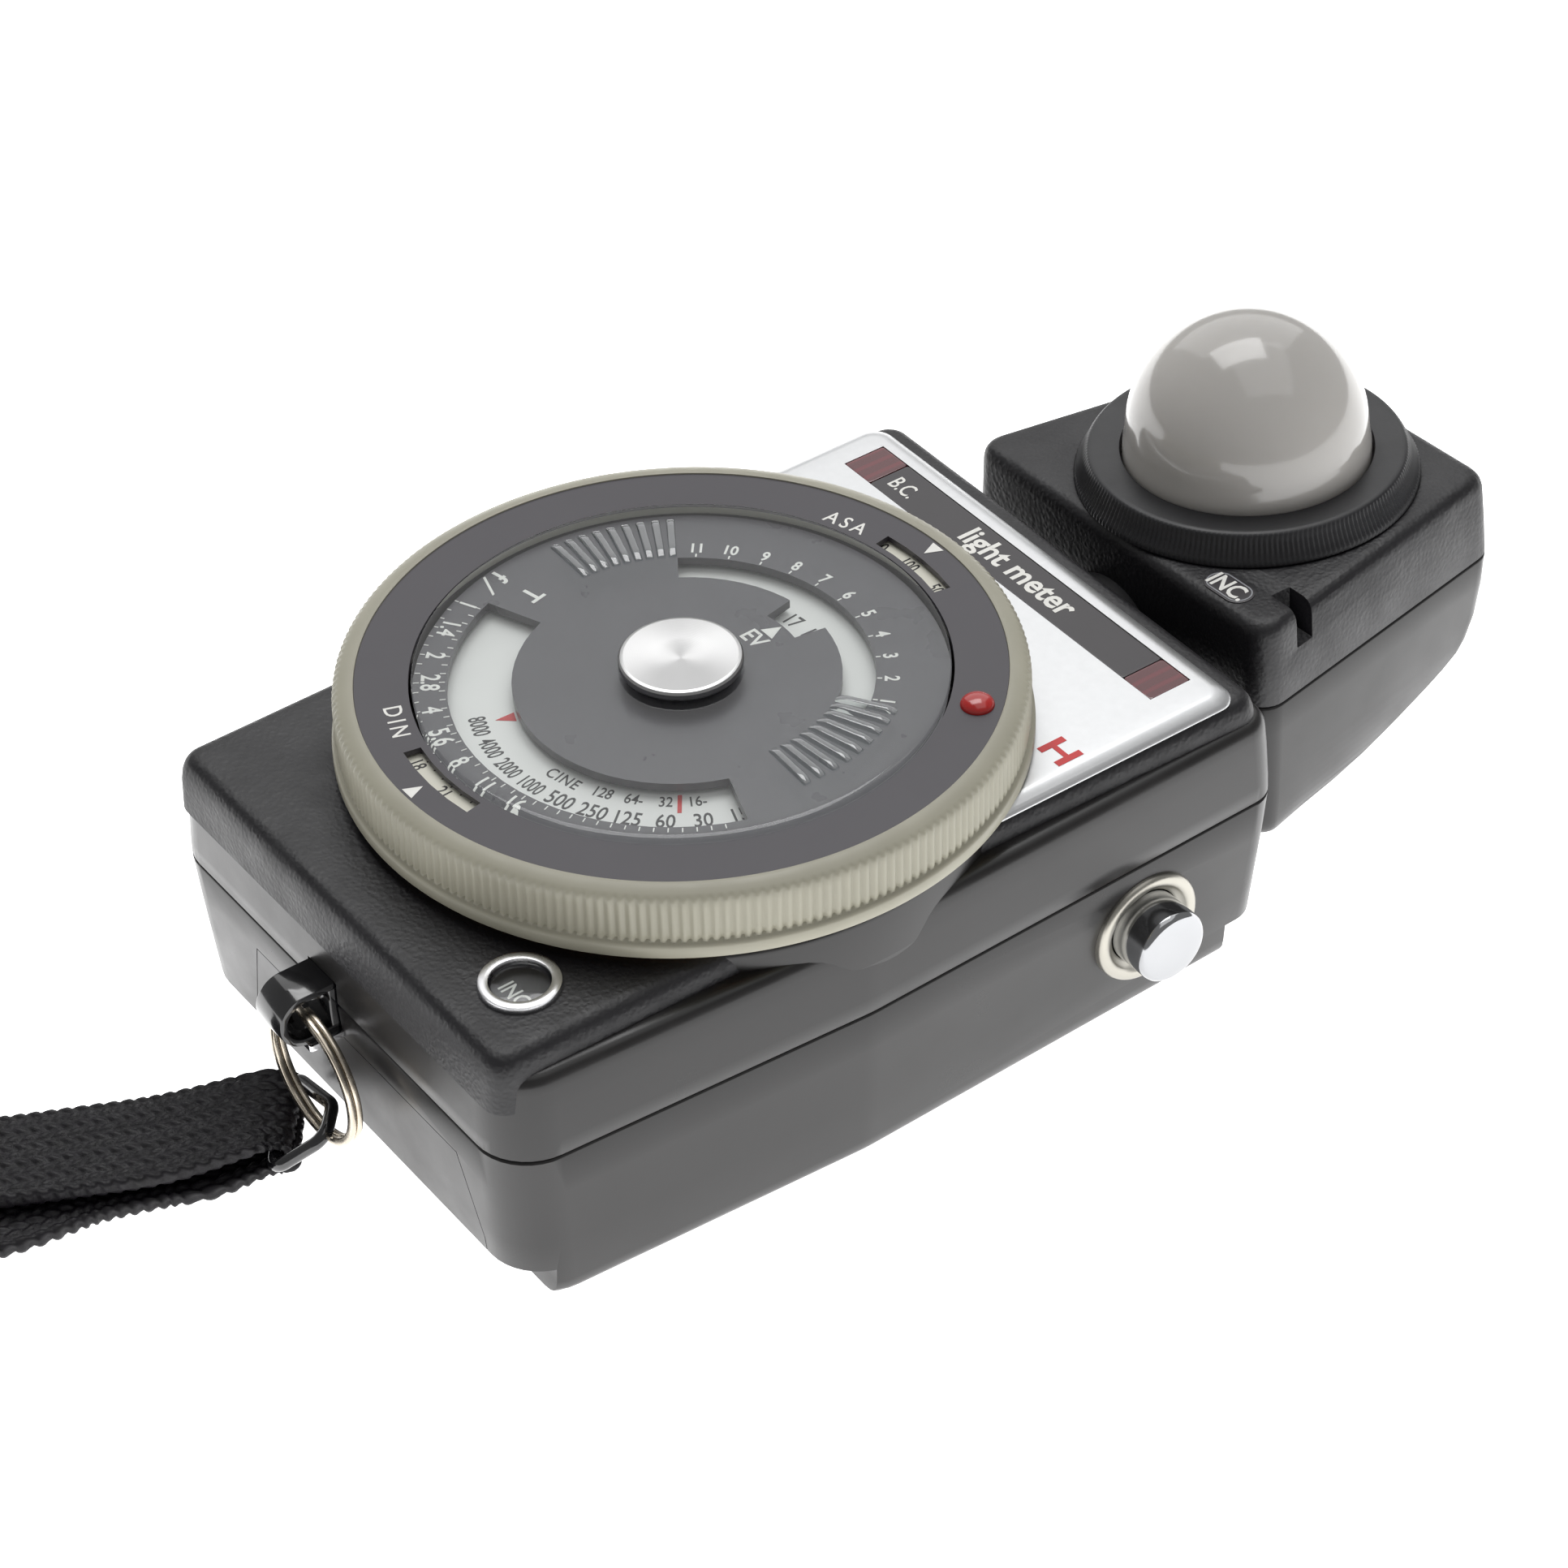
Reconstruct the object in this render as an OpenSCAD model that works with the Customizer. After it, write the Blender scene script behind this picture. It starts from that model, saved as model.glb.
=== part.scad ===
// Handheld light meter with a motor-driven calculator dial and a swivelling incident head.
// It lies on its back: +Z points out of the dial, +Y towards the swivel head, +X towards the
// measuring button. The origin is on the dial axis, on the surface that the back rests on.

/* [Body] */
// Greatest width of the body, level with the dial
body_w = 67; // [66:0.5:69]
// Width of the body at the strap end
strap_end_w = 62.2; // [61:0.2:64]
// Width of the body at the head end
head_end_w = 64.4; // [63:0.2:66]
// Distance from the dial axis to the strap end
strap_end = 42.4; // [42:0.1:43]
// Distance from the dial axis to the head end
head_end = 51.2; // [50.8:0.1:51.6]
// Height of the parting line between rear case and top cover
seam_h = 20; // [19.6:0.1:20.4]
// Height of the flat deck of the top cover
deck_h = 32.3; // [32:0.1:32.6]
// Wall thickness of the moulded covers
wall = 1.8; // [1.4:0.1:2]

/* [Dial] */
// Outer radius of the plain flange of the film speed ring
ring_r = 34.9; // [34.5:0.1:35.2]
// Height of the dark annular dial face
face_h = 40.8; // [40.6:0.1:41]
// Radius of the clear calculator disc
disc_r = 26.6; // [26:0.1:26.8]
// Radius of the turned knob at the centre
knob_r = 6.2; // [5:0.1:7]

/* [Head] */
// Height of the swivel axis above the resting surface
swivel_h = 17.4; // [17:0.1:18]
// Swivel angle that the head is stored at
head_turn = -3.2; // [-6:0.2:0]
// Distance from the dial axis to the near face of the head
head_near = 55.3; // [55:0.1:56]
// Distance from the dial axis to the far face of the head
head_far = 94.2; // [93.5:0.1:95]
// Radius of the round base of the diffuser collar
collar_r = 18.5; // [18:0.1:19]
// Outer radius of the white diffuser dome
dome_r = 13; // [12.4:0.1:13.4]

/* [Button] */
// Radius of the measuring button
button_r = 4.1; // [3.6:0.1:4.4]
// Distance that the button face stands out from the middle of the body
button_face = 37.2; // [36.8:0.1:37.8]

/* [Gears] */
// Module of the drive gears
gear_module = 0.5; // [0.48:0.01:0.52]
// Teeth of the gear on the time scale disc
dial_teeth = 60; // [60:1:60]
// Teeth of the idler gear
idler_teeth = 24; // [24:1:24]
// Teeth of the motor pinion
pinion_teeth = 12; // [12:1:12]

/* [Strap] */
// Width of the braided wrist strap
strap_w = 12.4; // [11:0.2:13]
// Thickness of one layer of the strap
strap_t = 1.6; // [1.2:0.1:1.8]

/* [Hidden] */
$fn = 64;

eps = 0.01;
gap = 0.05;
widest_y = -1.8;
// Levels of the covers
shallow_h = 4.2;
ledge_h = 29.8;
cavity_top = deck_h - 1.6;
bulge_y0 = -36.3;
bulge_y1 = 44;
// Battery door
door_x0 = -15.5;
door_x1 = 20.9;
door_end_y = 14.5;
door_top = 15.6;
door_gap = 0.15;
// Dial levels
boss_r = 33.2;
turret_r = 31.5;
turret_in = 27.6;
neck_h = deck_h + 2.4;
turret_top = face_h - 2;
ring_bottom = deck_h + 1.2;
face_r = 32.2;
face_t = 0.6;
bore_r = 26.9;
scale_h = 36.5;
mask_h = 38;
mask_t = 1.3;
clear_h = 40.2;
time_r = 26.2;
// Windows of the mask plate, as angles and radii about the dial axis
time_window = [-158, -19.5, 16.8, 23.2];
value_window = [38.5, 146, 15.9, 19.2];
notch_window = [80.5, 101.5, 12.5, 16];
// Film speed windows of the dial face
asa_window = [78, 99, 27.6, 29.4];
din_window = [-101, -79, 27.6, 29.4];
stud_at = [22.5, 19.35];
// Drive train
dial_pitch = gear_module * dial_teeth / 2;
idler_pitch = gear_module * idler_teeth / 2;
pinion_pitch = gear_module * pinion_teeth / 2;
mesh_gap = 0.06;
idler_angle = 60;
motor_angle = 75;
idler_at = (dial_pitch + idler_pitch + mesh_gap) * [cos(idler_angle), sin(idler_angle)];
motor_at = idler_at + (idler_pitch + pinion_pitch + mesh_gap) * [cos(motor_angle), sin(motor_angle)];
gear_h = 27.4;
gear_t = 1.8;
bracket_h = 25.2;
motor_r = 7;
motor_h = 17;
hub_r = 3;
spindle_r = 1.5;
// Mode window
mode_at = [20.9, -33.6];
mode_r = 4.1;
// Button
button_at = [33.2, 11.6];
button_back = 27.6;
escutcheon_x = 31.6;
// Head, measured from the swivel axis
head_seam = 3.6;
head_top = 13.6;
dome_y = 74.2;
neck_r = 8;
// Battery
battery_at = [2, -9.2];
battery_size = [26.5, 48.5, 17.5];
// Circuit board
board_h = 20.4;
board_t = 1.6;
// Strap hardware
lug_x = -1.8;
lug_w = 4.8;
lug_y = -45.7;
lug_h = 19.7;
link_x = 0.8;
link_r = 7.3;
link_h = 13;
// Wire loop of the strap: the corner that its bar starts from, its turn and tilt, and its bends
d_at = [-10.5, -43.2, 3.6];
d_turn = -36.4;
d_tilt = 36;
d_bends = [[0, 0], [14.5, 0], [14.2, 6.8], [9.9, 7.3]];
d_wire = 0.7;
d_corner = 1.5;
// Route of the strap: out along the top run, round the far fold and back along the lower run
strap_route = [
    [-4.6, -47.2, 5.2], [-5.6, -48.9, 5.1], [-6.6, -51.4, 4.6], [-8.1, -55.2, 3.9],
    [-9.9, -59.4, 3.5], [-12.8, -65, 3.3], [-16.5, -72.2, 3.2], [-20.8, -80.4, 3.2],
    [-26.4, -90, 3.2], [-33, -101, 3.2], [-40.6, -113, 3.2], [-49, -125.4, 3.2],
    [-58, -138, 3.3], [-67.4, -150.6, 3.9], [-76.4, -162.4, 5.4], [-82, -169.6, 6.6],
    [-86.2, -174.4, 6.9], [-89.2, -177, 5.6], [-89.6, -176.4, 2.8], [-86.4, -174.8, 1.2],
    [-80.8, -170, 0.9], [-71.6, -161.6, 0.85], [-61.2, -150.4, 0.85], [-51, -138.2, 0.85],
    [-41.4, -125.2, 0.85], [-32.2, -112, 0.85], [-24, -99.2, 0.85], [-17.4, -86.6, 0.85],
    [-13.2, -75.2, 0.85], [-11.8, -66.4, 0.85], [-9.2, -59.2, 0.95], [-7.2, -55.4, 1.15],
    [-6.2, -52, 1.5], [-5.4, -49.4, 1.9], [-4.6, -47.6, 2]];
strap_steps = 2;

// ---------- outlines ----------

function unit(v) = v / norm(v);

function wrap(angle) = (angle + 540) % 360 - 180;

// Arc that rounds corner b of the outline a-b-c with radius r
function corner_arc(a, b, c, r, steps = 6) =
    let (u = unit(a - b), v = unit(c - b), half = acos(u * v) / 2,
        centre = b + unit(u + v) * r / sin(half),
        from = b + u * r / tan(half) - centre, to = b + v * r / tan(half) - centre,
        a0 = atan2(from.y, from.x), turn = wrap(atan2(to.y, to.x) - a0))
    [for (i = [0 : steps]) centre + r * [cos(a0 + turn * i / steps), sin(a0 + turn * i / steps)]];

function rounded(points, radii) =
    let (n = len(points))
    [for (i = [0 : n - 1])
        each corner_arc(points[(i + n - 1) % n], points[i], points[(i + 1) % n], radii[i])];

// Half width of the body at a place along it
function half_width(y) = y < widest_y
    ? strap_end_w / 2 + (body_w - strap_end_w) / 2 * (y + strap_end) / (widest_y + strap_end)
    : body_w / 2 + (head_end_w - body_w) / 2 * (y - widest_y) / (head_end - widest_y);

// Plan of the body between two places along it, drawn in by inset on every side
module body_plan(inset, y0 = -strap_end, y1 = head_end, r0 = 6, r1 = 3.5) {
    a = y0 + inset;
    b = y1 - inset;
    polygon(rounded(
        [[-half_width(a) + inset, a], [half_width(a) - inset, a],
            [half_width(widest_y) - inset, widest_y],
            [half_width(b) - inset, b], [-half_width(b) + inset, b],
            [-half_width(widest_y) + inset, widest_y]],
        [r0 - inset / 2, r0 - inset / 2, 24, r1 - inset / 4, r1 - inset / 4, 24]));
}

module layer(z, t = eps) {
    translate([0, 0, z])
        linear_extrude(t)
            children();
}

// Ring sector between two radii and two angles
module sector(w) {
    steps = ceil((w[1] - w[0]) / 6);
    outer = [for (i = [0 : steps]) let (a = w[0] + (w[1] - w[0]) * i / steps) w[3] * [cos(a), sin(a)]];
    inner = [for (i = [steps : -1 : 0]) let (a = w[0] + (w[1] - w[0]) * i / steps) w[2] * [cos(a), sin(a)]];
    polygon(concat(outer, inner));
}

module tube(outer, inner, h) {
    difference() {
        cylinder(r = outer, h = h);
        translate([0, 0, -1])
            cylinder(r = inner, h = h + 2);
    }
}

// ---------- body ----------

// Space beside the deeper middle of the back, at both ends
module back_steps(inset, h) {
    translate([-40, -strap_end - 5, -5])
        cube([80, strap_end + 5 + bulge_y0 - 1.2 + inset, h + 5]);
    translate([-40, bulge_y1 + 1.2 - inset, -5])
        cube([80, 20, h + 5]);
}

module rear_outside()
    difference() {
        hull() {
            layer(seam_h - eps) body_plan(0);
            layer(1.2) body_plan(1.3);
            layer(0) body_plan(2.4);
        }
        back_steps(0, shallow_h);
    }

module rear_inside()
    difference() {
        hull() {
            layer(seam_h) body_plan(wall);
            layer(wall) body_plan(wall + 1.5);
        }
        back_steps(wall, shallow_h + wall);
    }

// Cross-section of the battery door, along Y and up Z, grown by g
function door_section(g) = [
    [-strap_end - 1, shallow_h - 6], [-strap_end - 1, door_top + g],
    [-strap_end + wall + 0.4 + g, door_top + g], [-strap_end + wall + 0.4 + g, shallow_h + wall + g],
    [bulge_y0 + wall + 0.6 + g, shallow_h + wall + g], [bulge_y0 + wall + 0.6 + g, wall + g],
    [door_end_y + g, wall + g], [door_end_y + g, -1]];

module door_block(g) {
    translate([door_x0 - g, 0, 0])
        rotate([90, 0, 90])
            linear_extrude(door_x1 - door_x0 + 2 * g)
                polygon(door_section(g));
}

screw_spots = [[-25.5, -34], [27.2, -34], [-27.6, 41], [27.6, 41]];

module swivel_bore(r, y0, y1) {
    translate([0, y0, swivel_h])
        rotate([-90, 0, 0])
            cylinder(r = r, h = y1 - y0);
}

module button_bore(r, x0, x1) {
    translate([x0, button_at.x, button_at.y])
        rotate([0, 90, 0])
            cylinder(r = r, h = x1 - x0);
}

module rear_case() color([0.1, 0.1, 0.11]) {
    difference() {
        rear_outside();
        rear_inside();
        door_block(door_gap);
        swivel_bore(9.75, head_end - 4, head_end + 2);
        button_bore(4.6, 26, 36);
        button_bore(6.35, escutcheon_x - gap, 36);
        lug_slot();
        for (p = screw_spots)
            translate([p.x, p.y, -1])
                cylinder(r = 2.2, h = 4.4, $fn = 32);
    }
    for (p = screw_spots)
        translate([p.x, p.y, 3.2])
            tube(2.5, 1.15, seam_h - 3.2);
}

module top_cover() color([0.11, 0.11, 0.12]) {
    difference() {
        union() {
            hull() {
                layer(seam_h + eps) body_plan(0);
                layer(ledge_h - 1.1) body_plan(0.8);
                layer(ledge_h) body_plan(1.9);
            }
            plateau();
            translate([0, 0, 24])
                cylinder(r = boss_r, h = deck_h - 24, $fn = 120);
        }
        hull() {
            layer(seam_h) body_plan(wall);
            layer(ledge_h - 1.6) body_plan(wall + 0.8);
        }
        hull() {
            layer(ledge_h - 2) body_plan(wall + 3.6);
            layer(cavity_top) body_plan(wall + 4);
        }
        translate([0, 0, cavity_top - 1])
            cylinder(r = 5.1, h = 4);
        swivel_bore(9.75, head_end - 4, head_end + 2);
        translate([mode_at.x, mode_at.y, cavity_top - 1])
            cylinder(r = 3.4, h = 4, $fn = 48);
        translate([mode_at.x, mode_at.y, cavity_top - 3])
            cylinder(r = 3.75, h = 3, $fn = 48);
        for (x = [-23.4, 23.3])
            translate([x - 2.2, 39.4, cavity_top - 1])
                cube([4.4, 4.6, 4]);
        for (a = [90, 210, 330])
            rotate(a)
                translate([28.95, 0, cavity_top - 1])
                    cylinder(r = 0.8, h = 4, $fn = 24);
        lug_slot();
    }
    for (p = screw_spots)
        translate([p.x, p.y, seam_h + gap])
            tube(2.5, 0.9, ledge_h - 1 - seam_h);
}

// Raised deck between the ledges
module plateau() {
    hull() {
        layer(ledge_h - 0.6)
            polygon(rounded([[-29.4, -42], [29.4, -42], [30.9, 49.6], [-30.9, 49.6]], [2, 2, 3, 3]));
        layer(deck_h - 0.8)
            polygon(rounded([[-28.9, -41.7], [28.9, -41.7], [30.2, 49.2], [-30.2, 49.2]], [2, 2, 3, 3]));
        layer(deck_h - eps)
            polygon(rounded([[-28, -40.9], [28, -40.9], [29.4, 48.4], [-29.4, 48.4]], [2, 2, 3, 3]));
    }
}

module battery_door() color([0.1, 0.1, 0.11])
    intersection() {
        difference() {
            rear_outside();
            rear_inside();
        }
        door_block(-eps);
    }

module case_screws() color("silver")
    for (p = screw_spots)
        translate([p.x, p.y, 1.6]) {
            cylinder(r = 1.9, h = 1.4, $fn = 32);
            cylinder(r = 0.85, h = 24, $fn = 24);
        }

module plate_plan(inset) {
    difference() {
        polygon(rounded(
            [[-29.2 + inset, 4], [29.2 - inset, 4], [30 - inset, 46.9 - inset], [-30 + inset, 46.9 - inset]],
            [1, 1, 2.6 - inset / 2, 2.6 - inset / 2]));
        circle(r = boss_r + 0.9 + inset / 2, $fn = 120);
    }
}

band_y = [39.2, 44.4];
band_x = [-25.8, 25.2];
lamp_w = 4.4;

module name_plate() color("silver")
    difference() {
        union() {
            for (i = [0 : 4])
                layer(deck_h + i * 0.2, 0.2) plate_plan(i * i * 0.055 + 0.05);
        }
        translate([band_x[0], band_y[0], deck_h - 1])
            cube([band_x[1] - band_x[0], band_y[1] - band_y[0], 3]);
    }

module band_piece(x0, x1, top)
    translate([x0 + gap, band_y[0] + gap, deck_h])
        cube([x1 - x0 - 2 * gap, band_y[1] - band_y[0] - 2 * gap, top]);

module legend_band() color([0.15, 0.14, 0.15])
    band_piece(band_x[0] + lamp_w, band_x[1] - lamp_w, 0.95);

module battery_check_window() color([0.4, 0.05, 0.1])
    band_piece(band_x[0], band_x[0] + lamp_w, 0.95);

module reading_window() color([0.4, 0.05, 0.1])
    band_piece(band_x[1] - lamp_w, band_x[1], 0.95);

module lamp_board() color("darkgreen")
    translate([-24.9, 38, 27.2])
        cube([49.8, 7, 1.2]);

module indicator_leds() color("red")
    for (x = [band_x[0] + lamp_w / 2, band_x[1] - lamp_w / 2 - 0.9, band_x[1] - lamp_w / 2 + 0.9])
        translate([x, 41.8, 28.4 + gap])
            cylinder(r = 0.7, h = 2.6, $fn = 24);

// ---------- dial ----------

module dial_turret() color([0.15, 0.15, 0.16])
    difference() {
        union() {
            translate([0, 0, deck_h])
                tube(30.3, turret_in, 3);
            translate([0, 0, neck_h])
                tube(turret_r, turret_in, turret_top - neck_h);
        }
        for (a = [90, 210, 330])
            rotate(a)
                translate([28.95, 0, deck_h - 1])
                    cylinder(r = 0.7, h = 5, $fn = 24);
    }

module turret_screws() color("silver")
    for (a = [90, 210, 330])
        rotate(a)
            translate([28.95, 0, cavity_top - 1]) {
                cylinder(r = 1.3, h = 1 - gap, $fn = 24);
                cylinder(r = 0.65, h = 5.4, $fn = 24);
            }

module film_speed_ring() color([0.62, 0.6, 0.53])
    translate([0, 0, ring_bottom])
        rotate_extrude($fn = 180)
            polygon([[30.5, 0], [ring_r, 0], [ring_r, 1.5], [ring_r - 0.5, 1.8],
                [ring_r - 0.6, 6.7], [ring_r - 2.3, face_h - ring_bottom + 0.2],
                [face_r + 0.1, face_h - ring_bottom + 0.2], [face_r + 0.1, face_h - ring_bottom - face_t],
                [turret_r + 0.25, face_h - ring_bottom - face_t], [turret_r + 0.25, 0.9], [30.5, 0.9]]);

module dial_face() color([0.22, 0.22, 0.24])
    difference() {
        translate([0, 0, face_h - face_t])
            tube(face_r + 0.05, bore_r, face_t);
        layer(face_h - 2, 3) sector(asa_window);
        layer(face_h - 2, 3) sector(din_window);
    }

module index_stud() color("red")
    intersection() {
        translate([stud_at.x, stud_at.y, face_h - 0.9])
            sphere(r = 1.9, $fn = 48);
        translate([stud_at.x - 3, stud_at.y - 3, face_h])
            cube([6, 6, 3]);
    }

module film_speed_scale() color("white")
    translate([0, 0, turret_top])
        tube(turret_r - 0.1, bore_r + 0.4, face_h - face_t - 0.3 - turret_top);

module film_speed_track() color("peru")
    translate([0, 0, deck_h])
        tube(33, 31, 0.5);

module time_scale_disc() color("white")
    translate([0, 0, scale_h])
        tube(time_r, hub_r, 0.8);

module time_disc_hub() color("goldenrod")
    translate([0, 0, gear_h]) {
        tube(hub_r, spindle_r + gap, scale_h + 0.8 - gear_h);
        translate([0, 0, scale_h - gear_h - 0.8])
            tube(6, hub_r - 0.2, 0.8);
    }

// Spur gear outline: straight-flanked teeth, thinner than half the pitch for backlash
function gear_points(teeth, pitch) =
    let (p = 360 / teeth, root = pitch - 1.2 * gear_module, tip = pitch + 0.9 * gear_module)
    [for (i = [0 : teeth - 1])
        each [for (k = [[root, -0.34], [pitch, -0.19], [tip, -0.09], [tip, 0.09], [pitch, 0.19], [root, 0.34]])
            k[0] * [cos((i + k[1]) * p), sin((i + k[1]) * p)]]];

module gear(teeth, pitch, bore, phase) {
    difference() {
        linear_extrude(gear_t)
            rotate(phase)
                polygon(gear_points(teeth, pitch));
        translate([0, 0, -1])
            cylinder(r = bore, h = gear_t + 2);
    }
}

module dial_gear() color("goldenrod")
    translate([0, 0, gear_h])
        gear(dial_teeth, dial_pitch, hub_r, idler_angle);

module idler_gear() color("goldenrod")
    translate([idler_at.x, idler_at.y, gear_h])
        gear(idler_teeth, idler_pitch, 1.05, idler_angle + 180 + 180 / idler_teeth);

module motor_pinion() color("goldenrod")
    translate([motor_at.x, motor_at.y, gear_h])
        gear(pinion_teeth, pinion_pitch, 0.8, motor_angle + 180);

module idler_axle() color("silver")
    translate([idler_at.x, idler_at.y, bracket_h]) {
        cylinder(r = 1, h = 4.8, $fn = 32);
        translate([0, 0, 1.2])
            cylinder(r = 1.8, h = 0.8, $fn = 32);
    }

module dial_bush() color("goldenrod")
    translate([0, 0, cavity_top - 0.8])
        difference() {
            union() {
                cylinder(r = 5, h = 3.2);
                cylinder(r = 7, h = 0.75);
            }
            translate([0, 0, -1])
                cylinder(r = hub_r + gap, h = 6);
        }

module drive_motor() color("silver") {
    translate([motor_at.x, motor_at.y, bracket_h - motor_h])
        cylinder(r = motor_r, h = motor_h);
    translate([motor_at.x, motor_at.y, bracket_h - eps])
        cylinder(r = 0.75, h = gear_h + gear_t - bracket_h, $fn = 24);
}

module drive_bracket() color("gray")
    difference() {
        union() {
            translate([motor_at.x, motor_at.y, bracket_h])
                cylinder(r = motor_r + 0.5, h = 1.2);
            translate([idler_at.x, idler_at.y, bracket_h])
                cylinder(r = 3.2, h = 1.2);
            layer(bracket_h, 1.2)
                polygon([idler_at + [-3, 0], idler_at + [3, 0], motor_at + [7, 2], motor_at + [-7, 2]]);
            translate([motor_at.x - 7, motor_at.y + 4, bracket_h])
                cube([14, 6.4, 1.2]);
            for (x = [-6.4, 3.6])
                translate([motor_at.x + x, motor_at.y + 7.6, bracket_h])
                    cube([2.8, 2.8, cavity_top - bracket_h]);
        }
        translate([idler_at.x, idler_at.y, bracket_h - 1])
            cylinder(r = 1, h = 4, $fn = 32);
        translate([motor_at.x, motor_at.y, bracket_h - 1])
            cylinder(r = 1.5, h = 4, $fn = 32);
    }

module mask_plate() color([0.2, 0.2, 0.22])
    difference() {
        translate([0, 0, mask_h])
            tube(disc_r - 0.2, spindle_r + 0.6, mask_t);
        layer(mask_h - 1, 3) sector(time_window);
        layer(mask_h - 1, 3) sector(value_window);
        layer(mask_h - 1, 3) sector(notch_window);
    }

rib_groups = [[147, 178.5], [-3, 31.7]];
rib_count = 9;

module clear_disc() color([0.8, 0.85, 0.9, 0.35]) {
    translate([0, 0, clear_h])
        tube(disc_r, spindle_r + 0.6, 1.1);
    for (g = rib_groups)
        for (i = [0 : rib_count - 1])
            rotate(g[0] + (g[1] - g[0]) * i / (rib_count - 1))
                translate([17.6, -0.3, clear_h + 1.1 - eps])
                    cube([5.4, 0.6, 0.5]);
}

module centre_knob() color("silver")
    translate([0, 0, clear_h + 1.1])
        rotate_extrude($fn = 96)
            polygon([[0, 0], [knob_r - 0.3, 0], [knob_r, 0.3], [knob_r, 0.8], [knob_r - 0.5, 1.15], [0, 0.75]]);

module dial_spindle() color("silver") {
    translate([0, 0, gear_h - 1.6])
        cylinder(r = spindle_r, h = clear_h + 1.1 - gear_h + 1.6);
    translate([0, 0, mask_h - 0.5])
        cylinder(r = 2.6, h = 0.5);
    translate([0, 0, mask_h])
        cylinder(r = spindle_r + 0.6, h = clear_h + 1.1 - mask_h);
    translate([0, 0, mask_h + mask_t])
        cylinder(r = 3, h = clear_h - mask_h - mask_t);
}

module spindle_clip() color("silver")
    translate([0, 0, gear_h - 1.2])
        tube(2.9, spindle_r, 0.5);

module mode_window_bezel() color("silver")
    translate([mode_at.x, mode_at.y, cavity_top])
        rotate_extrude()
            polygon([[2.9, 0], [3.35, 0], [3.35, deck_h - cavity_top + eps], [mode_r, deck_h - cavity_top + eps],
                [mode_r, deck_h - cavity_top + 0.4], [mode_r - 0.3, deck_h - cavity_top + 0.7],
                [3, deck_h - cavity_top + 0.7], [2.9, deck_h - cavity_top + 0.5]]);

module mode_window_lens() color([0.7, 0.75, 0.8, 0.4])
    translate([mode_at.x, mode_at.y, deck_h - 0.7])
        cylinder(r = 2.85, h = 0.7);

module mode_label() color([0.15, 0.15, 0.16])
    translate([mode_at.x, mode_at.y, cavity_top - 1.2])
        cylinder(r = 3.6, h = 1.15);

// ---------- measuring button ----------

module button_escutcheon() color("silver")
    translate([escutcheon_x, button_at.x, button_at.y])
        rotate([0, 90, 0])
            rotate_extrude()
                polygon([[4.2, -2.4], [4.55, -2.4], [4.55, 0], [6.3, 0], [6.3, 1.3], [5.9, 1.7], [5, 1.7],
                    [4.6, 1.1], [4.2, 1.1]]);

module measuring_button() color("silver")
    translate([button_back, button_at.x, button_at.y])
        rotate([0, 90, 0])
            rotate_extrude()
                polygon([[0, 0], [button_r + 0.6, 0], [button_r + 0.6, 1], [button_r, 1],
                    [button_r, button_face - button_back - 0.5],
                    [button_r - 0.5, button_face - button_back], [0, button_face - button_back]]);

module button_spring() color("silver")
    translate([23.2, button_at.x, button_at.y])
        rotate([0, 90, 0])
            for (i = [0 : 3])
                translate([0, 0, i * 1.12])
                    rotate_extrude($fn = 32)
                        translate([3.2, 0.35])
                            circle(r = 0.3, $fn = 16);

module button_switch() color("dimgray") {
    translate([20.4, button_at.x - 4, button_at.y - 5])
        cube([2.6, 8, 10]);
    translate([23 - eps, button_at.x, button_at.y])
        rotate([0, 90, 0])
            cylinder(r = 1.4, h = 2.2, $fn = 24);
}

// ---------- inside the body ----------

module circuit_board() color("darkgreen")
    difference() {
        layer(board_h, board_t)
            polygon([[-26.5, -30], [26.5, -30], [28.5, -2], [28, 26], [17, 26], [17, 40],
                [-20, 40], [-20, 37], [-28, 37], [-28.5, -2]]);
        translate([motor_at.x, motor_at.y, board_h - 1])
            cylinder(r = motor_r + 0.6, h = 4);
        swivel_bore(11.6, 38, 50);
    }

module battery() color([0.25, 0.3, 0.35]) {
    translate([battery_at.x - battery_size.x / 2, battery_at.y - battery_size.y / 2, wall + 0.3])
        cube([battery_size.x, battery_size.y - 2.6, battery_size.z]);
    for (x = [-6.35, 6.35])
        translate([battery_at.x + x, battery_at.y + battery_size.y / 2 - 2.6 - eps, wall + 0.3 + battery_size.z / 2])
            rotate([-90, 0, 0])
                cylinder(r = 2.8, h = 2.6, $fn = 32);
}

module battery_contacts() color("goldenrod")
    for (x = [-6.35, 6.35])
        translate([battery_at.x + x - 4, battery_at.y + battery_size.y / 2 + gap, wall + 2])
            cube([8, 0.6, 14]);

// ---------- swivel head ----------

module at_head() {
    translate([0, 0, swivel_h])
        rotate([0, head_turn, 0])
            children();
}

module head_plan(near_w, far_w, y0, y1, r = 3)
    polygon(rounded([[-near_w, y0], [near_w, y0], [far_w, y1], [-far_w, y1]], [r, r, r + 1, r + 1]));

module head_top_solid(t)
    hull() {
        layer(head_seam + (t == 0 ? gap : -eps)) head_plan(24.6 - t, 17.6 - t, head_near + t, head_far - t);
        layer(head_top - 1 - t) head_plan(24.1 - t, 17.2 - t, head_near + 0.2 + t, head_far - 0.6 - t);
        layer(head_top - t - eps) head_plan(23.1 - t, 16.3 - t, head_near + 1.1 + t, head_far - 1.6 - t);
    }

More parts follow.
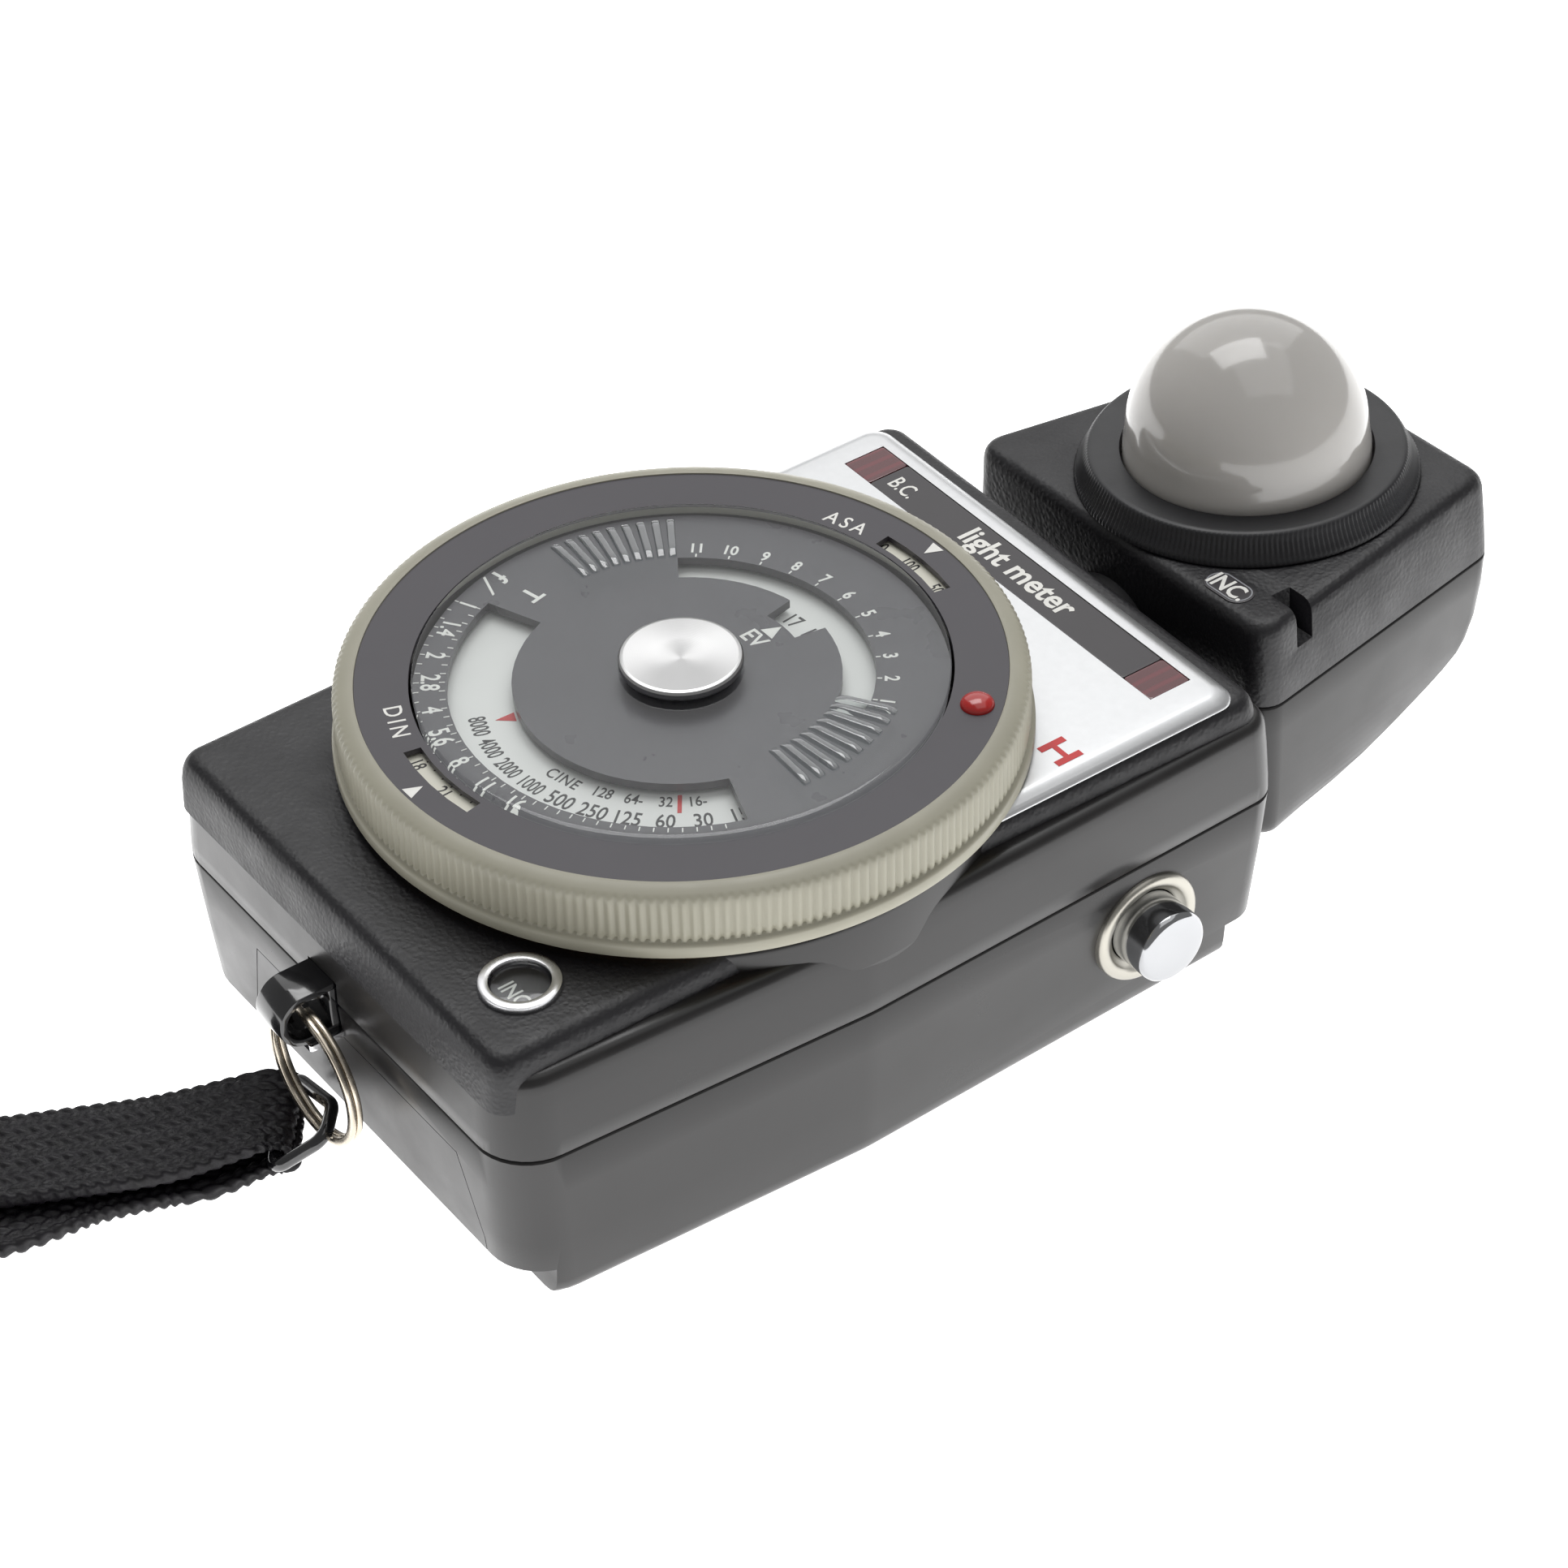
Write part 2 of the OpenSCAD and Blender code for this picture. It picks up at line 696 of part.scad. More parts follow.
module head_bottom_solid(t)
    hull() {
        layer(head_seam + (t == 0 ? -eps : eps)) head_plan(24.6 - t, 17.6 - t, head_near + t, head_far - t);
        for (p = [[22.3, head_near + 2, -13.9], [19.4, 74.5, -11.7], [17.6, 84, -9.4], [16, head_far - 2.9, -6.4]])
            for (s = [-1, 1])
                translate([s * (p.x - t), p.y + (p.y < 60 ? t : p.y > 90 ? -t : 0), p.z + t])
                    sphere(r = 1.4, $fn = 16);
    }

cell_y = dome_y;
notch_y = 62.4;

module head_top_shell() color([0.1, 0.1, 0.11])
    at_head()
        difference() {
            head_top_solid(0);
            head_top_solid(wall);
            translate([0, cell_y, 5])
                cylinder(r = 12.2, h = 12);
            translate([19.6, notch_y - 1.3, head_top - 4])
                cube([6, 2.6, 6]);
            translate([0, head_near - 2, 0])
                rotate([-90, 0, 0])
                    cylinder(r = neck_r, h = 6);
        }

module head_bottom_shell() color([0.1, 0.1, 0.11])
    at_head()
        difference() {
            union() {
                difference() {
                    head_bottom_solid(0);
                    head_bottom_solid(wall);
                    translate([0, head_near - 2, 0])
                        rotate([-90, 0, 0])
                            cylinder(r = neck_r, h = 6);
                }
                intersection() {
                    head_bottom_solid(0);
                    for (p = head_screw_spots)
                        translate([p.x, p.y, -14])
                            cylinder(r = 2.9, h = 17.4);
                }
            }
            for (p = head_screw_spots)
                translate([p.x, p.y, 0]) {
                    translate([0, 0, -20])
                        cylinder(r = 1.8, h = 13.25, $fn = 24);
                    translate([0, 0, -8])
                        cylinder(r = 0.95, h = 14, $fn = 24);
                }
        }

head_screw_spots = [[-14.5, 84.5], [14.5, 84.5]];

module head_screws() color("silver")
    at_head()
        for (p = head_screw_spots)
            translate([p.x, p.y, -8.2]) {
                cylinder(r = 1.6, h = 1.4, $fn = 24);
                cylinder(r = 0.8, h = 13, $fn = 24);
            }

module neck_tube() color([0.12, 0.12, 0.13])
    translate([0, head_end - 5.4, swivel_h])
        rotate([-90, 0, 0])
            difference() {
                union() {
                    cylinder(r = neck_r - gap, h = head_near + 5 - head_end + 5.4);
                    translate([0, 0, head_near + wall - head_end + 5.4 + 0.9])
                        cylinder(r = neck_r + 1.6, h = 1.6);
                }
                translate([0, 0, -1])
                    cylinder(r = neck_r - 2, h = 30);
            }

module neck_bush() color([0.2, 0.2, 0.21])
    translate([0, head_end - 3.6, swivel_h])
        rotate([-90, 0, 0])
            difference() {
                union() {
                    cylinder(r = 9.7, h = 4.8);
                    cylinder(r = 10.3, h = 0.6);
                }
                translate([0, 0, -1])
                    cylinder(r = neck_r, h = 10);
            }

module neck_clip() color("silver")
    translate([0, head_end - 4.7, swivel_h])
        rotate([-90, 0, 0])
            tube(9.4, neck_r - gap, 0.9);

module diffuser_collar() color([0.07, 0.07, 0.08])
    at_head()
        translate([0, dome_y, head_top])
            rotate_extrude($fn = 120)
                polygon([[12.6, 0.1], [collar_r, 0.1], [collar_r, 0.8], [collar_r - 0.35, 1.1],
                    [17.5, 2.9], [17.1, 3.3], [dome_r + 0.45, 3.3], [dome_r + 0.45, 1.5], [12.6, 1.5]]);

module diffuser_dome() color("white")
    at_head()
        translate([0, dome_y, head_top])
            difference() {
                union() {
                    translate([0, 0, 5.6])
                        sphere(r = dome_r, $fn = 96);
                    translate([0, 0, 1.6])
                        cylinder(r = dome_r + 0.3, h = 4);
                }
                translate([0, 0, 5.6])
                    sphere(r = dome_r - 1.2, $fn = 96);
                translate([0, 0, 1])
                    cylinder(r = dome_r - 1.2, h = 4.6);
                translate([-20, -20, -14])
                    cube([40, 40, 15.6]);
            }

module cell_holder() color([0.15, 0.15, 0.16])
    at_head()
        translate([0, cell_y, 5.6])
            difference() {
                union() {
                    cylinder(r = 9, h = 6);
                    cylinder(r = 13.6, h = 1.6);
                }
                translate([0, 0, 1.6])
                    cylinder(r = 6.2, h = 6);
            }

module photocell() color([0.2, 0.2, 0.35])
    at_head()
        translate([0, cell_y, 7.25])
            cylinder(r = 6, h = 1.2);

module cell_filter() color([0.3, 0.5, 0.6, 0.6])
    at_head()
        translate([0, cell_y, 8.6])
            cylinder(r = 6, h = 1.6);

module head_badge() color([0.14, 0.14, 0.15])
    at_head()
        translate([15.4, 58.6, head_top + eps])
            layer(0, 0.18)
                polygon(rounded([[-3.1, -1.7], [3.1, -1.7], [3.1, 1.7], [-3.1, 1.7]], [1.6, 1.6, 1.6, 1.6]));

// ---------- strap hardware ----------

module lug_slot()
    translate([lug_x - lug_w / 2 - 0.1, -strap_end - 2, lug_h - 3.2])
        cube([lug_w + 0.2, 7, 6.4]);

module strap_lug() color([0.08, 0.08, 0.08])
    translate([lug_x - lug_w / 2, 0, 0])
        rotate([90, 0, 90])
            linear_extrude(lug_w)
                difference() {
                    union() {
                        translate([lug_y, lug_h])
                            circle(r = 3.1, $fn = 48);
                        translate([lug_y, lug_h - 3.1])
                            square([-lug_y - strap_end + 4, 6.2]);
                    }
                    translate([lug_y, lug_h])
                        circle(r = 2.2, $fn = 48);
                    translate([lug_y, lug_h - 1.3])
                        square([4.5, 2.6]);
                }

module split_ring() color("silver")
    translate([link_x, lug_y, link_h])
        rotate([90, 0, 0])
            translate([0, 0, -0.75])
                tube(link_r + 0.5, link_r - 0.5, 1.5);

// Corner b of the outline a-b-c, moved inwards by d
function moved_corner(a, b, c, d) =
    let (u = unit(a - b), v = unit(c - b))
    b + unit(u + v) * d / sin(acos(u * v) / 2);

function moved_in(points, d) =
    let (n = len(points))
    [for (i = [0 : n - 1])
        moved_corner(points[(i + n - 1) % n], points[i], points[(i + 1) % n], d)];

module d_ring() color([0.1, 0.1, 0.1])
    translate(d_at)
        rotate([0, 0, d_turn])
            rotate([d_tilt, 0, 0])
                linear_extrude(2 * d_wire, center = true)
                    difference() {
                        polygon(rounded(moved_in(d_bends, -d_wire), [for (b = d_bends) d_corner + d_wire]));
                        polygon(rounded(moved_in(d_bends, d_wire), [for (b = d_bends) d_corner - d_wire]));
                    }

// Smooth curve through the route's points
function spline(p, steps) =
    [for (i = [0 : len(p) - 2], k = [0 : steps - 1])
        let (t = k / steps, a = p[max(i - 1, 0)], b = p[i], c = p[i + 1], d = p[min(i + 2, len(p) - 1)])
        0.5 * (2 * b + (c - a) * t + (2 * a - 5 * b + 4 * c - d) * t * t
            + (3 * b - a - 3 * c + d) * t * t * t)];

strap_line = concat(spline(strap_route, strap_steps), [strap_route[len(strap_route) - 1]]);

// Band of eight-sided cross-section swept along a line, its width level and across the line
module band(line, w, t) {
    n = len(line);
    e = 0.25 * t;
    shape = [[-w / 2, -e], [-w / 2 + e, -t / 2], [w / 2 - e, -t / 2], [w / 2, -e],
        [w / 2, e], [w / 2 - e, t / 2], [-w / 2 + e, t / 2], [-w / 2, e]];
    rings = [for (i = [0 : n - 1])
        let (along = unit(line[min(i + 1, n - 1)] - line[max(i - 1, 0)]),
            side = unit(cross([strap_side.x, strap_side.y, 0], along)),
            across = unit(cross(along, side)))
        for (s = shape) line[i] + across * s.x + side * s.y];
    faces = [for (i = [0 : n - 2], k = [0 : 7])
        [i * 8 + k, i * 8 + (k + 1) % 8, (i + 1) * 8 + (k + 1) % 8, (i + 1) * 8 + k]];
    polyhedron(rings, concat([[7, 6, 5, 4, 3, 2, 1, 0]], faces, [[for (k = [0 : 7]) (n - 1) * 8 + k]]));
}

strap_side = [0.80, -0.60];

module wrist_strap() color([0.08, 0.08, 0.1])
    band(strap_line, strap_w, strap_t);

top_cover();
rear_case();
battery_door();
case_screws();
name_plate();
legend_band();
battery_check_window();
reading_window();
lamp_board();
indicator_leds();
dial_turret();
turret_screws();
film_speed_ring();
dial_face();
index_stud();
film_speed_scale();
film_speed_track();
time_scale_disc();
time_disc_hub();
dial_gear();
dial_bush();
idler_gear();
idler_axle();
motor_pinion();
drive_motor();
drive_bracket();
mask_plate();
clear_disc();
centre_knob();
dial_spindle();
spindle_clip();
mode_window_bezel();
mode_window_lens();
mode_label();
button_escutcheon();
measuring_button();
button_spring();
button_switch();
circuit_board();
battery();
battery_contacts();
head_top_shell();
head_bottom_shell();
head_screws();
neck_tube();
neck_bush();
neck_clip();
diffuser_collar();
diffuser_dome();
photocell();
cell_filter();
cell_holder();
head_badge();
strap_lug();
split_ring();
d_ring();
wrist_strap();
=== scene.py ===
import math

import bmesh
import bpy
from mathutils import Matrix, Vector


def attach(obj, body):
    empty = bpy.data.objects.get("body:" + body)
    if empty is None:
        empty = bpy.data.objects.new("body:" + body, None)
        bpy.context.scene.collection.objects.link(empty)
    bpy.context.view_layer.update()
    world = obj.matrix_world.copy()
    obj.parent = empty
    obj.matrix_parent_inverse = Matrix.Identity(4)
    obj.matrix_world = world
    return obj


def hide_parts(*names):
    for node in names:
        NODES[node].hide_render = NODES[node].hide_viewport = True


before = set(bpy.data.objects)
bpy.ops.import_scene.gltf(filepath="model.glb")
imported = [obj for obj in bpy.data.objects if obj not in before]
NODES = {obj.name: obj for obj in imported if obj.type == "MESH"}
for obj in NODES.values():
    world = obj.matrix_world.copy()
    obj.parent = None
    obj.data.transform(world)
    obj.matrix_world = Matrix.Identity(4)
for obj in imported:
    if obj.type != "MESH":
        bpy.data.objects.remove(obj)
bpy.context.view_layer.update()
MM = 0.001
SCENE = bpy.context.scene

# places in the frame, in mm
NECK_Z = 17.4  # height of the neck's axis, which lies along Y
HEAD_TURN = -3.2  # degrees that the head lies turned about that axis
DECK_WINDOW_AT = (20.9, -33.6, 0)
BUTTON_AT = (0, 33.2, 11.6)  # the button's axis lies along X
DIFFUSER_AT = (0, 74.2, 0)  # in the head's own upright frame
RING_X, RING_Y, RING_Z = 0.8, -46.06, 13.0  # centre of the split ring's first coil
BAND_Y0, BAND_Y1 = 39.25, 44.35  # legend band and red windows

# ------ camera

cam_data = bpy.data.cameras.new("camera")
cam_data.sensor_width = 36
cam_data.lens = 104.83
cam_data.clip_start = 0.02
cam_data.clip_end = 20
camera = bpy.data.objects.new("camera", cam_data)
SCENE.collection.objects.link(camera)
CAM_X = (0.590653, 0.806579, -0.023648)
CAM_Y = (-0.505835, 0.392935, 0.767941)
CAM_Z = (0.628697, -0.441624, 0.640084)
CAM_AT = (0.29426, -0.19479, 0.31930)
camera.matrix_world = Matrix(
    [[CAM_X[i], CAM_Y[i], CAM_Z[i], CAM_AT[i]] for i in range(3)] + [[0, 0, 0, 1]]
)
SCENE.camera = camera


# ------ material helper


class Mat:
    """A Principled material and short calls that add detail to it."""

    def __init__(self, name, colour, rough=0.5, metal=0.0, spec=0.5):
        self.m = bpy.data.materials.new(name)
        self.m.use_nodes = True
        self.nt = self.m.node_tree
        self.p = self.nt.nodes["Principled BSDF"]
        self.colour = tuple(colour)
        self.p.inputs["Base Color"].default_value = (*colour, 1)
        self.p.inputs["Roughness"].default_value = rough
        self.p.inputs["Metallic"].default_value = metal
        self.p.inputs["Specular IOR Level"].default_value = spec
        self.coord = self.node("ShaderNodeTexCoord").outputs["Object"]
        self.normal = None

    def node(self, kind, **inputs):
        n = self.nt.nodes.new(kind)
        for k, v in inputs.items():
            n.inputs[k.replace("_", " ")].default_value = v
        return n

    def link(self, a, b):
        self.nt.links.new(a, b)

    def noise(self, scale, detail=3.0, rough=0.55, stretch=None):
        n = self.node("ShaderNodeTexNoise", Scale=scale, Detail=detail, Roughness=rough)
        src = self.coord
        if stretch:
            m = self.node("ShaderNodeMapping", Scale=stretch)
            self.link(src, m.inputs["Vector"])
            src = m.outputs["Vector"]
        self.link(src, n.inputs["Vector"])
        return n.outputs["Fac"]

    def ramp(self, fac, lo, hi, a=(0, 0, 0), b=(1, 1, 1)):
        r = self.node("ShaderNodeValToRGB")
        r.color_ramp.elements[0].position = lo
        r.color_ramp.elements[1].position = hi
        r.color_ramp.elements[0].color = (*a, 1)
        r.color_ramp.elements[1].color = (*b, 1)
        self.link(fac, r.inputs["Fac"])
        return r.outputs["Color"]

    def vary(self, scale=60, amount=0.12, detail=4.0):
        """Small changes of colour over the surface."""
        f = self.noise(scale, detail)
        a = tuple(c * (1 - amount) for c in self.colour)
        b = tuple(min(1, c * (1 + amount)) for c in self.colour)
        c = self.ramp(f, 0.3, 0.7, a, b)
        self.link(c, self.p.inputs["Base Color"])
        return self

    def rough_from(self, fac, lo, hi):
        m = self.node("ShaderNodeMapRange", From_Min=0.3, From_Max=0.7, To_Min=lo, To_Max=hi)
        self.link(fac, m.inputs["Value"])
        self.link(m.outputs["Result"], self.p.inputs["Roughness"])
        return self

    def rough(self, lo, hi, scale=90, detail=4.0, stretch=None):
        return self.rough_from(self.noise(scale, detail, stretch=stretch), lo, hi)

    def bump_from(self, fac, strength, distance):
        b = self.node("ShaderNodeBump", Strength=strength, Distance=distance)
        self.link(fac, b.inputs["Height"])
        if self.normal:
            self.link(self.normal, b.inputs["Normal"])
        self.normal = b.outputs["Normal"]
        self.link(self.normal, self.p.inputs["Normal"])
        return self

    def bump(self, scale, strength, distance, detail=2.0, stretch=None):
        return self.bump_from(self.noise(scale, detail, stretch=stretch), strength, distance)

    def coat(self, weight, rough):
        self.p.inputs["Coat Weight"].default_value = weight
        self.p.inputs["Coat Roughness"].default_value = rough
        return self

    def leather(self, scale, strength, distance):
        """Rounded cells, moved about a little by a noise."""
        v = self.node("ShaderNodeTexVoronoi", Scale=scale)
        v.feature = "SMOOTH_F1"
        v.inputs["Smoothness"].default_value = 0.6
        n = self.node("ShaderNodeTexNoise", Scale=scale * 0.5, Detail=2.0)
        self.link(self.coord, n.inputs["Vector"])
        mix = self.node("ShaderNodeVectorMath")
        mix.operation = "MULTIPLY_ADD"
        mix.inputs[1].default_value = (0.0006, 0.0006, 0.0006)
        self.link(n.outputs["Color"], mix.inputs[0])
        self.link(self.coord, mix.inputs[2])
        self.link(mix.outputs["Vector"], v.inputs["Vector"])
        return self.bump_from(v.outputs["Distance"], strength, distance)

    def scratches(self, colour, amount=0.25, scale=500, turn=0.6):
        """Fine pale hairlines, mostly along one direction."""
        stretch = (scale, scale * 0.02, scale * 0.02)
        m = self.node("ShaderNodeMapping", Rotation=(0, 0, turn), Scale=stretch)
        self.link(self.coord, m.inputs["Vector"])
        n = self.node("ShaderNodeTexNoise", Scale=1.0, Detail=3.0)
        self.link(m.outputs["Vector"], n.inputs["Vector"])
        lines = self.ramp(n.outputs["Fac"], 0.66, 0.74)
        patch = self.ramp(self.noise(45, 2.0), 0.52, 0.7)
        both, some = self.node("ShaderNodeMath"), self.node("ShaderNodeMath")
        both.operation = some.operation = "MULTIPLY"
        self.link(lines, both.inputs[0])
        self.link(patch, both.inputs[1])
        self.link(both.outputs[0], some.inputs[0])
        some.inputs[1].default_value = amount
        mix = self.node("ShaderNodeMix")
        mix.data_type = "RGBA"
        base = self.p.inputs["Base Color"]
        if base.is_linked:
            self.link(base.links[0].from_socket, mix.inputs["A"])
        else:
            mix.inputs["A"].default_value = (*self.colour, 1)
        mix.inputs["B"].default_value = (*colour, 1)
        self.link(some.outputs[0], mix.inputs["Factor"])
        self.link(mix.outputs["Result"], base)
        return self


def srgb(*channels):
    """Linear colour of three 0 to 255 channels."""
    return tuple(((v / 255 + 0.055) / 1.055) ** 2.4 if v > 10 else v / 255 / 12.92 for v in channels)


# ------ materials

M_SATIN = (
    Mat("body_satin", (0.013, 0.012, 0.012), 0.33)
    .vary(70, 0.25)
    .rough(0.27, 0.38, 140)
    .bump(5200, 0.10, 0.00004)
    .bump(160, 0.05, 0.0002)
    .scratches((0.09, 0.088, 0.09), 0.22)
)
M_GRAIN = (
    Mat("deck_grain", (0.0055, 0.005, 0.0068), 0.44)
    .vary(55, 0.2)
    .rough(0.42, 0.54, 200)
    .leather(1900, 0.42, 0.00012)
    .bump(6500, 0.12, 0.00004)
)
M_INSIDE = Mat("inside_black", (0.012, 0.012, 0.013), 0.6).vary(80, 0.2).bump(900, 0.15, 0.0001)
M_KHAKI = (
    Mat("ring_khaki", srgb(158, 155, 139), 0.42)
    .vary(90, 0.06)
    .rough(0.36, 0.5, 260)
    .bump(3800, 0.08, 0.00004)
)
M_DIAL = (
    Mat("dial_grey", srgb(62, 59, 65), 0.36)
    .vary(60, 0.05)
    .rough(0.32, 0.42, 220)
    .bump(4200, 0.05, 0.00003)
)
M_MASK = Mat("mask_grey", srgb(82, 80, 84), 0.3).vary(60, 0.05).rough(0.26, 0.36, 150)
M_WHITE = Mat("scale_white", srgb(232, 232, 229), 0.42).vary(60, 0.03).bump(2600, 0.04, 0.00003)
M_PAPER = Mat("film_scale_white", srgb(222, 220, 206), 0.5).vary(60, 0.04).bump(2600, 0.05, 0.00003)
M_PRINT_W = Mat("print_white", srgb(236, 235, 230), 0.45).vary(900, 0.05)
M_PRINT_K = Mat("print_black", srgb(38, 37, 38), 0.45).vary(900, 0.1)
M_PRINT_R = Mat("print_red", srgb(205, 38, 40), 0.42).vary(900, 0.07)
M_PRINT_G = Mat("print_grey", srgb(150, 152, 156), 0.4, 0.3).vary(900, 0.07)
M_TURRET = Mat("turret_black", (0.012, 0.012, 0.013), 0.45).vary(80, 0.2).bump(1800, 0.1, 0.00005)
M_TRACK = (
    Mat("track_gold", srgb(196, 140, 84), 0.4, 0.5)
    .vary(140, 0.12)
    .rough(0.32, 0.5, 300)
    .bump(1500, 0.1, 0.00004)
)
M_PLATE = (
    Mat("plate_silver", srgb(204, 205, 206), 0.36, 0.85)
    .vary(900, 0.02)
    .rough(0.34, 0.38, 1500, 5.0)
    .bump(5200, 0.09, 0.00003)
    .scratches(srgb(240, 240, 240), 0.3, 700, 0.4)
)
M_BAND = (
    Mat("legend_band", srgb(58, 55, 58), 0.34)
    .vary(60, 0.08)
    .rough(0.3, 0.4, 160)
    .bump(3500, 0.05, 0.00003)
)
M_RED = Mat("window_red", srgb(88, 14, 26), 0.16, 0, 0.6).coat(0.4, 0.08)
M_KNOB = Mat("knob_spun", srgb(186, 186, 186), 0.3, 1.0)


def polished(name, *channels):
    mat = Mat(name, srgb(*channels), 0.08, 1.0).vary(120, 0.03)
    return mat.rough(0.06, 0.14, 180).bump(420, 0.03, 0.00005)


def satin(name, rough, *channels):
    mat = Mat(name, srgb(*channels), rough + 0.04, 1.0).vary(120, 0.03)
    return mat.rough(rough, rough + 0.1, 240).bump(1400, 0.04, 0.00003)


M_CHROME = polished("chrome", 226, 226, 228)
M_SATIN_CHROME = satin("satin_chrome", 0.2, 220, 220, 222)
M_BUTTON = polished("button_chrome", 168, 169, 171)
M_FLANGE = satin("button_flange", 0.3, 176, 173, 164)
M_NICKEL = (
    Mat("nickel", srgb(206, 196, 180), 0.2, 1.0)
    .vary(420, 0.16)
    .rough(0.16, 0.34, 600)
    .bump(900, 0.08, 0.00004)
)
M_STUD = Mat("stud_red", srgb(176, 22, 18), 0.2).vary(500, 0.06).rough(0.16, 0.26, 500).coat(0.6, 0.1)
M_COLLAR = (
    Mat("collar_black", (0.010, 0.010, 0.012), 0.4)
    .vary(80, 0.2)
    .rough(0.36, 0.48, 200)
    .bump(3600, 0.12, 0.00004)
)
M_DOME = Mat("dome_opal", srgb(178, 175, 171), 0.13).vary(26, 0.015).rough(0.11, 0.17, 120).coat(0.35, 0.06)
for key, value in (("Weight", 0.35), ("Radius", (1.0, 0.95, 0.85)), ("Scale", 0.003)):
    M_DOME.p.inputs["Subsurface " + key].default_value = value
M_ENAMEL = (
    Mat("black_enamel", (0.006, 0.006, 0.007), 0.12, 0, 0.6)
    .vary(400, 0.3)
    .rough(0.1, 0.2, 400)
    .coat(0.7, 0.06)
)
M_BRASS = (
    Mat("brass", srgb(196, 158, 92), 0.3, 1.0)
    .vary(300, 0.12)
    .rough(0.22, 0.4, 400)
    .bump(900, 0.08, 0.00004)
)
M_STEEL = (
    Mat("steel", srgb(178, 178, 180), 0.3, 1.0)
    .vary(300, 0.1)
    .rough(0.22, 0.42, 400)
    .bump(1400, 0.08, 0.00004)
)
M_BOARD = (
    Mat("board_green", srgb(24, 84, 48), 0.3)
    .vary(300, 0.2)
    .rough(0.25, 0.4, 300)
    .bump(700, 0.1, 0.00005)
)
M_LED = Mat("led_red", srgb(190, 20, 20), 0.15).vary(500, 0.1)
M_BATTERY = Mat("battery_wrap", srgb(58, 66, 78), 0.35, 0.4).vary(60, 0.2).rough(0.28, 0.42, 120)
M_CELL = Mat("cell_blue", srgb(40, 42, 74), 0.2).vary(400, 0.25)
M_FILTER = Mat("filter_glass", srgb(92, 150, 160), 0.08).vary(120, 0.05)
M_BRAID = (
    Mat("braid", (0.0034, 0.0024, 0.0046), 0.5, 0, 0.35)
    .vary(700, 0.45)
    .rough(0.42, 0.6, 900)
    .bump(5200, 0.5, 0.00008, stretch=(1, 1, 3))
)


def spun(mat):
    """Turned face: fine rings round the axis and the highlight that fans out from them."""
    t = mat.node("ShaderNodeTangent")
    t.direction_type = "RADIAL"
    t.axis = "Z"
    mat.link(t.outputs["Tangent"], mat.p.inputs["Tangent"])
    mat.p.inputs["Anisotropic"].default_value = 0.8
    w = mat.node("ShaderNodeTexWave", Scale=1900, Distortion=1.5, Detail=2.0)
    w.wave_type = "RINGS"
    w.rings_direction = "Z"
    mat.link(mat.coord, w.inputs["Vector"])
    mat.bump_from(w.outputs["Fac"], 0.12, 0.00003)
    return mat


spun(M_KNOB)


def led_lines(mat):
    """Faint upright lines behind the red windows."""
    w = mat.node("ShaderNodeTexWave", Scale=190, Distortion=0.4, Detail=1.0)
    w.bands_direction = "X"
    mat.link(mat.coord, w.inputs["Vector"])
    c = mat.ramp(w.outputs["Fac"], 0.55, 0.95, srgb(84, 12, 24), srgb(104, 15, 30))
    mat.link(c, mat.p.inputs["Base Color"])
    return mat


led_lines(M_RED)


def clear(name, tint, rough=0.02, ior=1.45, coat=0.0):
    """Clear moulded plastic that lets the lamps' light through to what is under it."""
    mat = Mat(name, tint, rough).vary(40, 0.02).coat(coat, 0.02)
    mat.p.inputs["Transmission Weight"].default_value = 1.0
    mat.p.inputs["IOR"].default_value = ior
    path = mat.node("ShaderNodeLightPath")
    through = mat.node("ShaderNodeBsdfTransparent", Color=(0.94, 0.95, 0.95, 1))
    shader = mat.p.outputs["BSDF"]
    for ray in ("Is Shadow Ray", "Is Diffuse Ray", "Is Glossy Ray"):
        mix = mat.node("ShaderNodeMixShader")
        mat.link(path.outputs[ray], mix.inputs["Fac"])
        mat.link(shader, mix.inputs[1])
        mat.link(through.outputs["BSDF"], mix.inputs[2])
        shader = mix.outputs["Shader"]
    mat.link(shader, mat.nt.nodes["Material Output"].inputs["Surface"])
    return mat


M_CLEAR = clear("disc_clear", (0.97, 0.98, 0.98), 0.0, 1.15, 0.6)
M_RIB = clear("disc_ribs", (0.97, 0.98, 0.98), 0.0, 1.5, 1.0)
M_LENS = clear("lens_clear", (0.95, 0.97, 0.97), 0.03)


# ------ mesh helpers


def corner_arc(a, b, c, r, n):
    """Points of the arc of radius r that rounds the corner b between a and c."""
    a, b, c = Vector(a), Vector(b), Vector(c)
    u, v = (a - b).normalized(), (c - b).normalized()
    half = math.acos(max(-1, min(1, u.dot(v)))) / 2
    centre = b + (u + v).normalized() * r / math.sin(half)
    p, q = b + u * r / math.tan(half) - centre, b + v * r / math.tan(half) - centre
    a0 = math.atan2(p.y, p.x)
    turn = (math.atan2(q.y, q.x) - a0 + math.pi) % (2 * math.pi) - math.pi
    return [
        (centre.x + r * math.cos(a0 + turn * i / n), centre.y + r * math.sin(a0 + turn * i / n))
        for i in range(n + 1)
    ]


def rounded(points, radii, n=8):
    """A closed outline with its corners rounded."""
    k = len(points)
    if not isinstance(radii, (list, tuple)):
        radii = [radii] * k
    out = []
    for i in range(k):
        out += corner_arc(points[i - 1], points[i], points[(i + 1) % k], max(radii[i], 0.02), n)
    return out


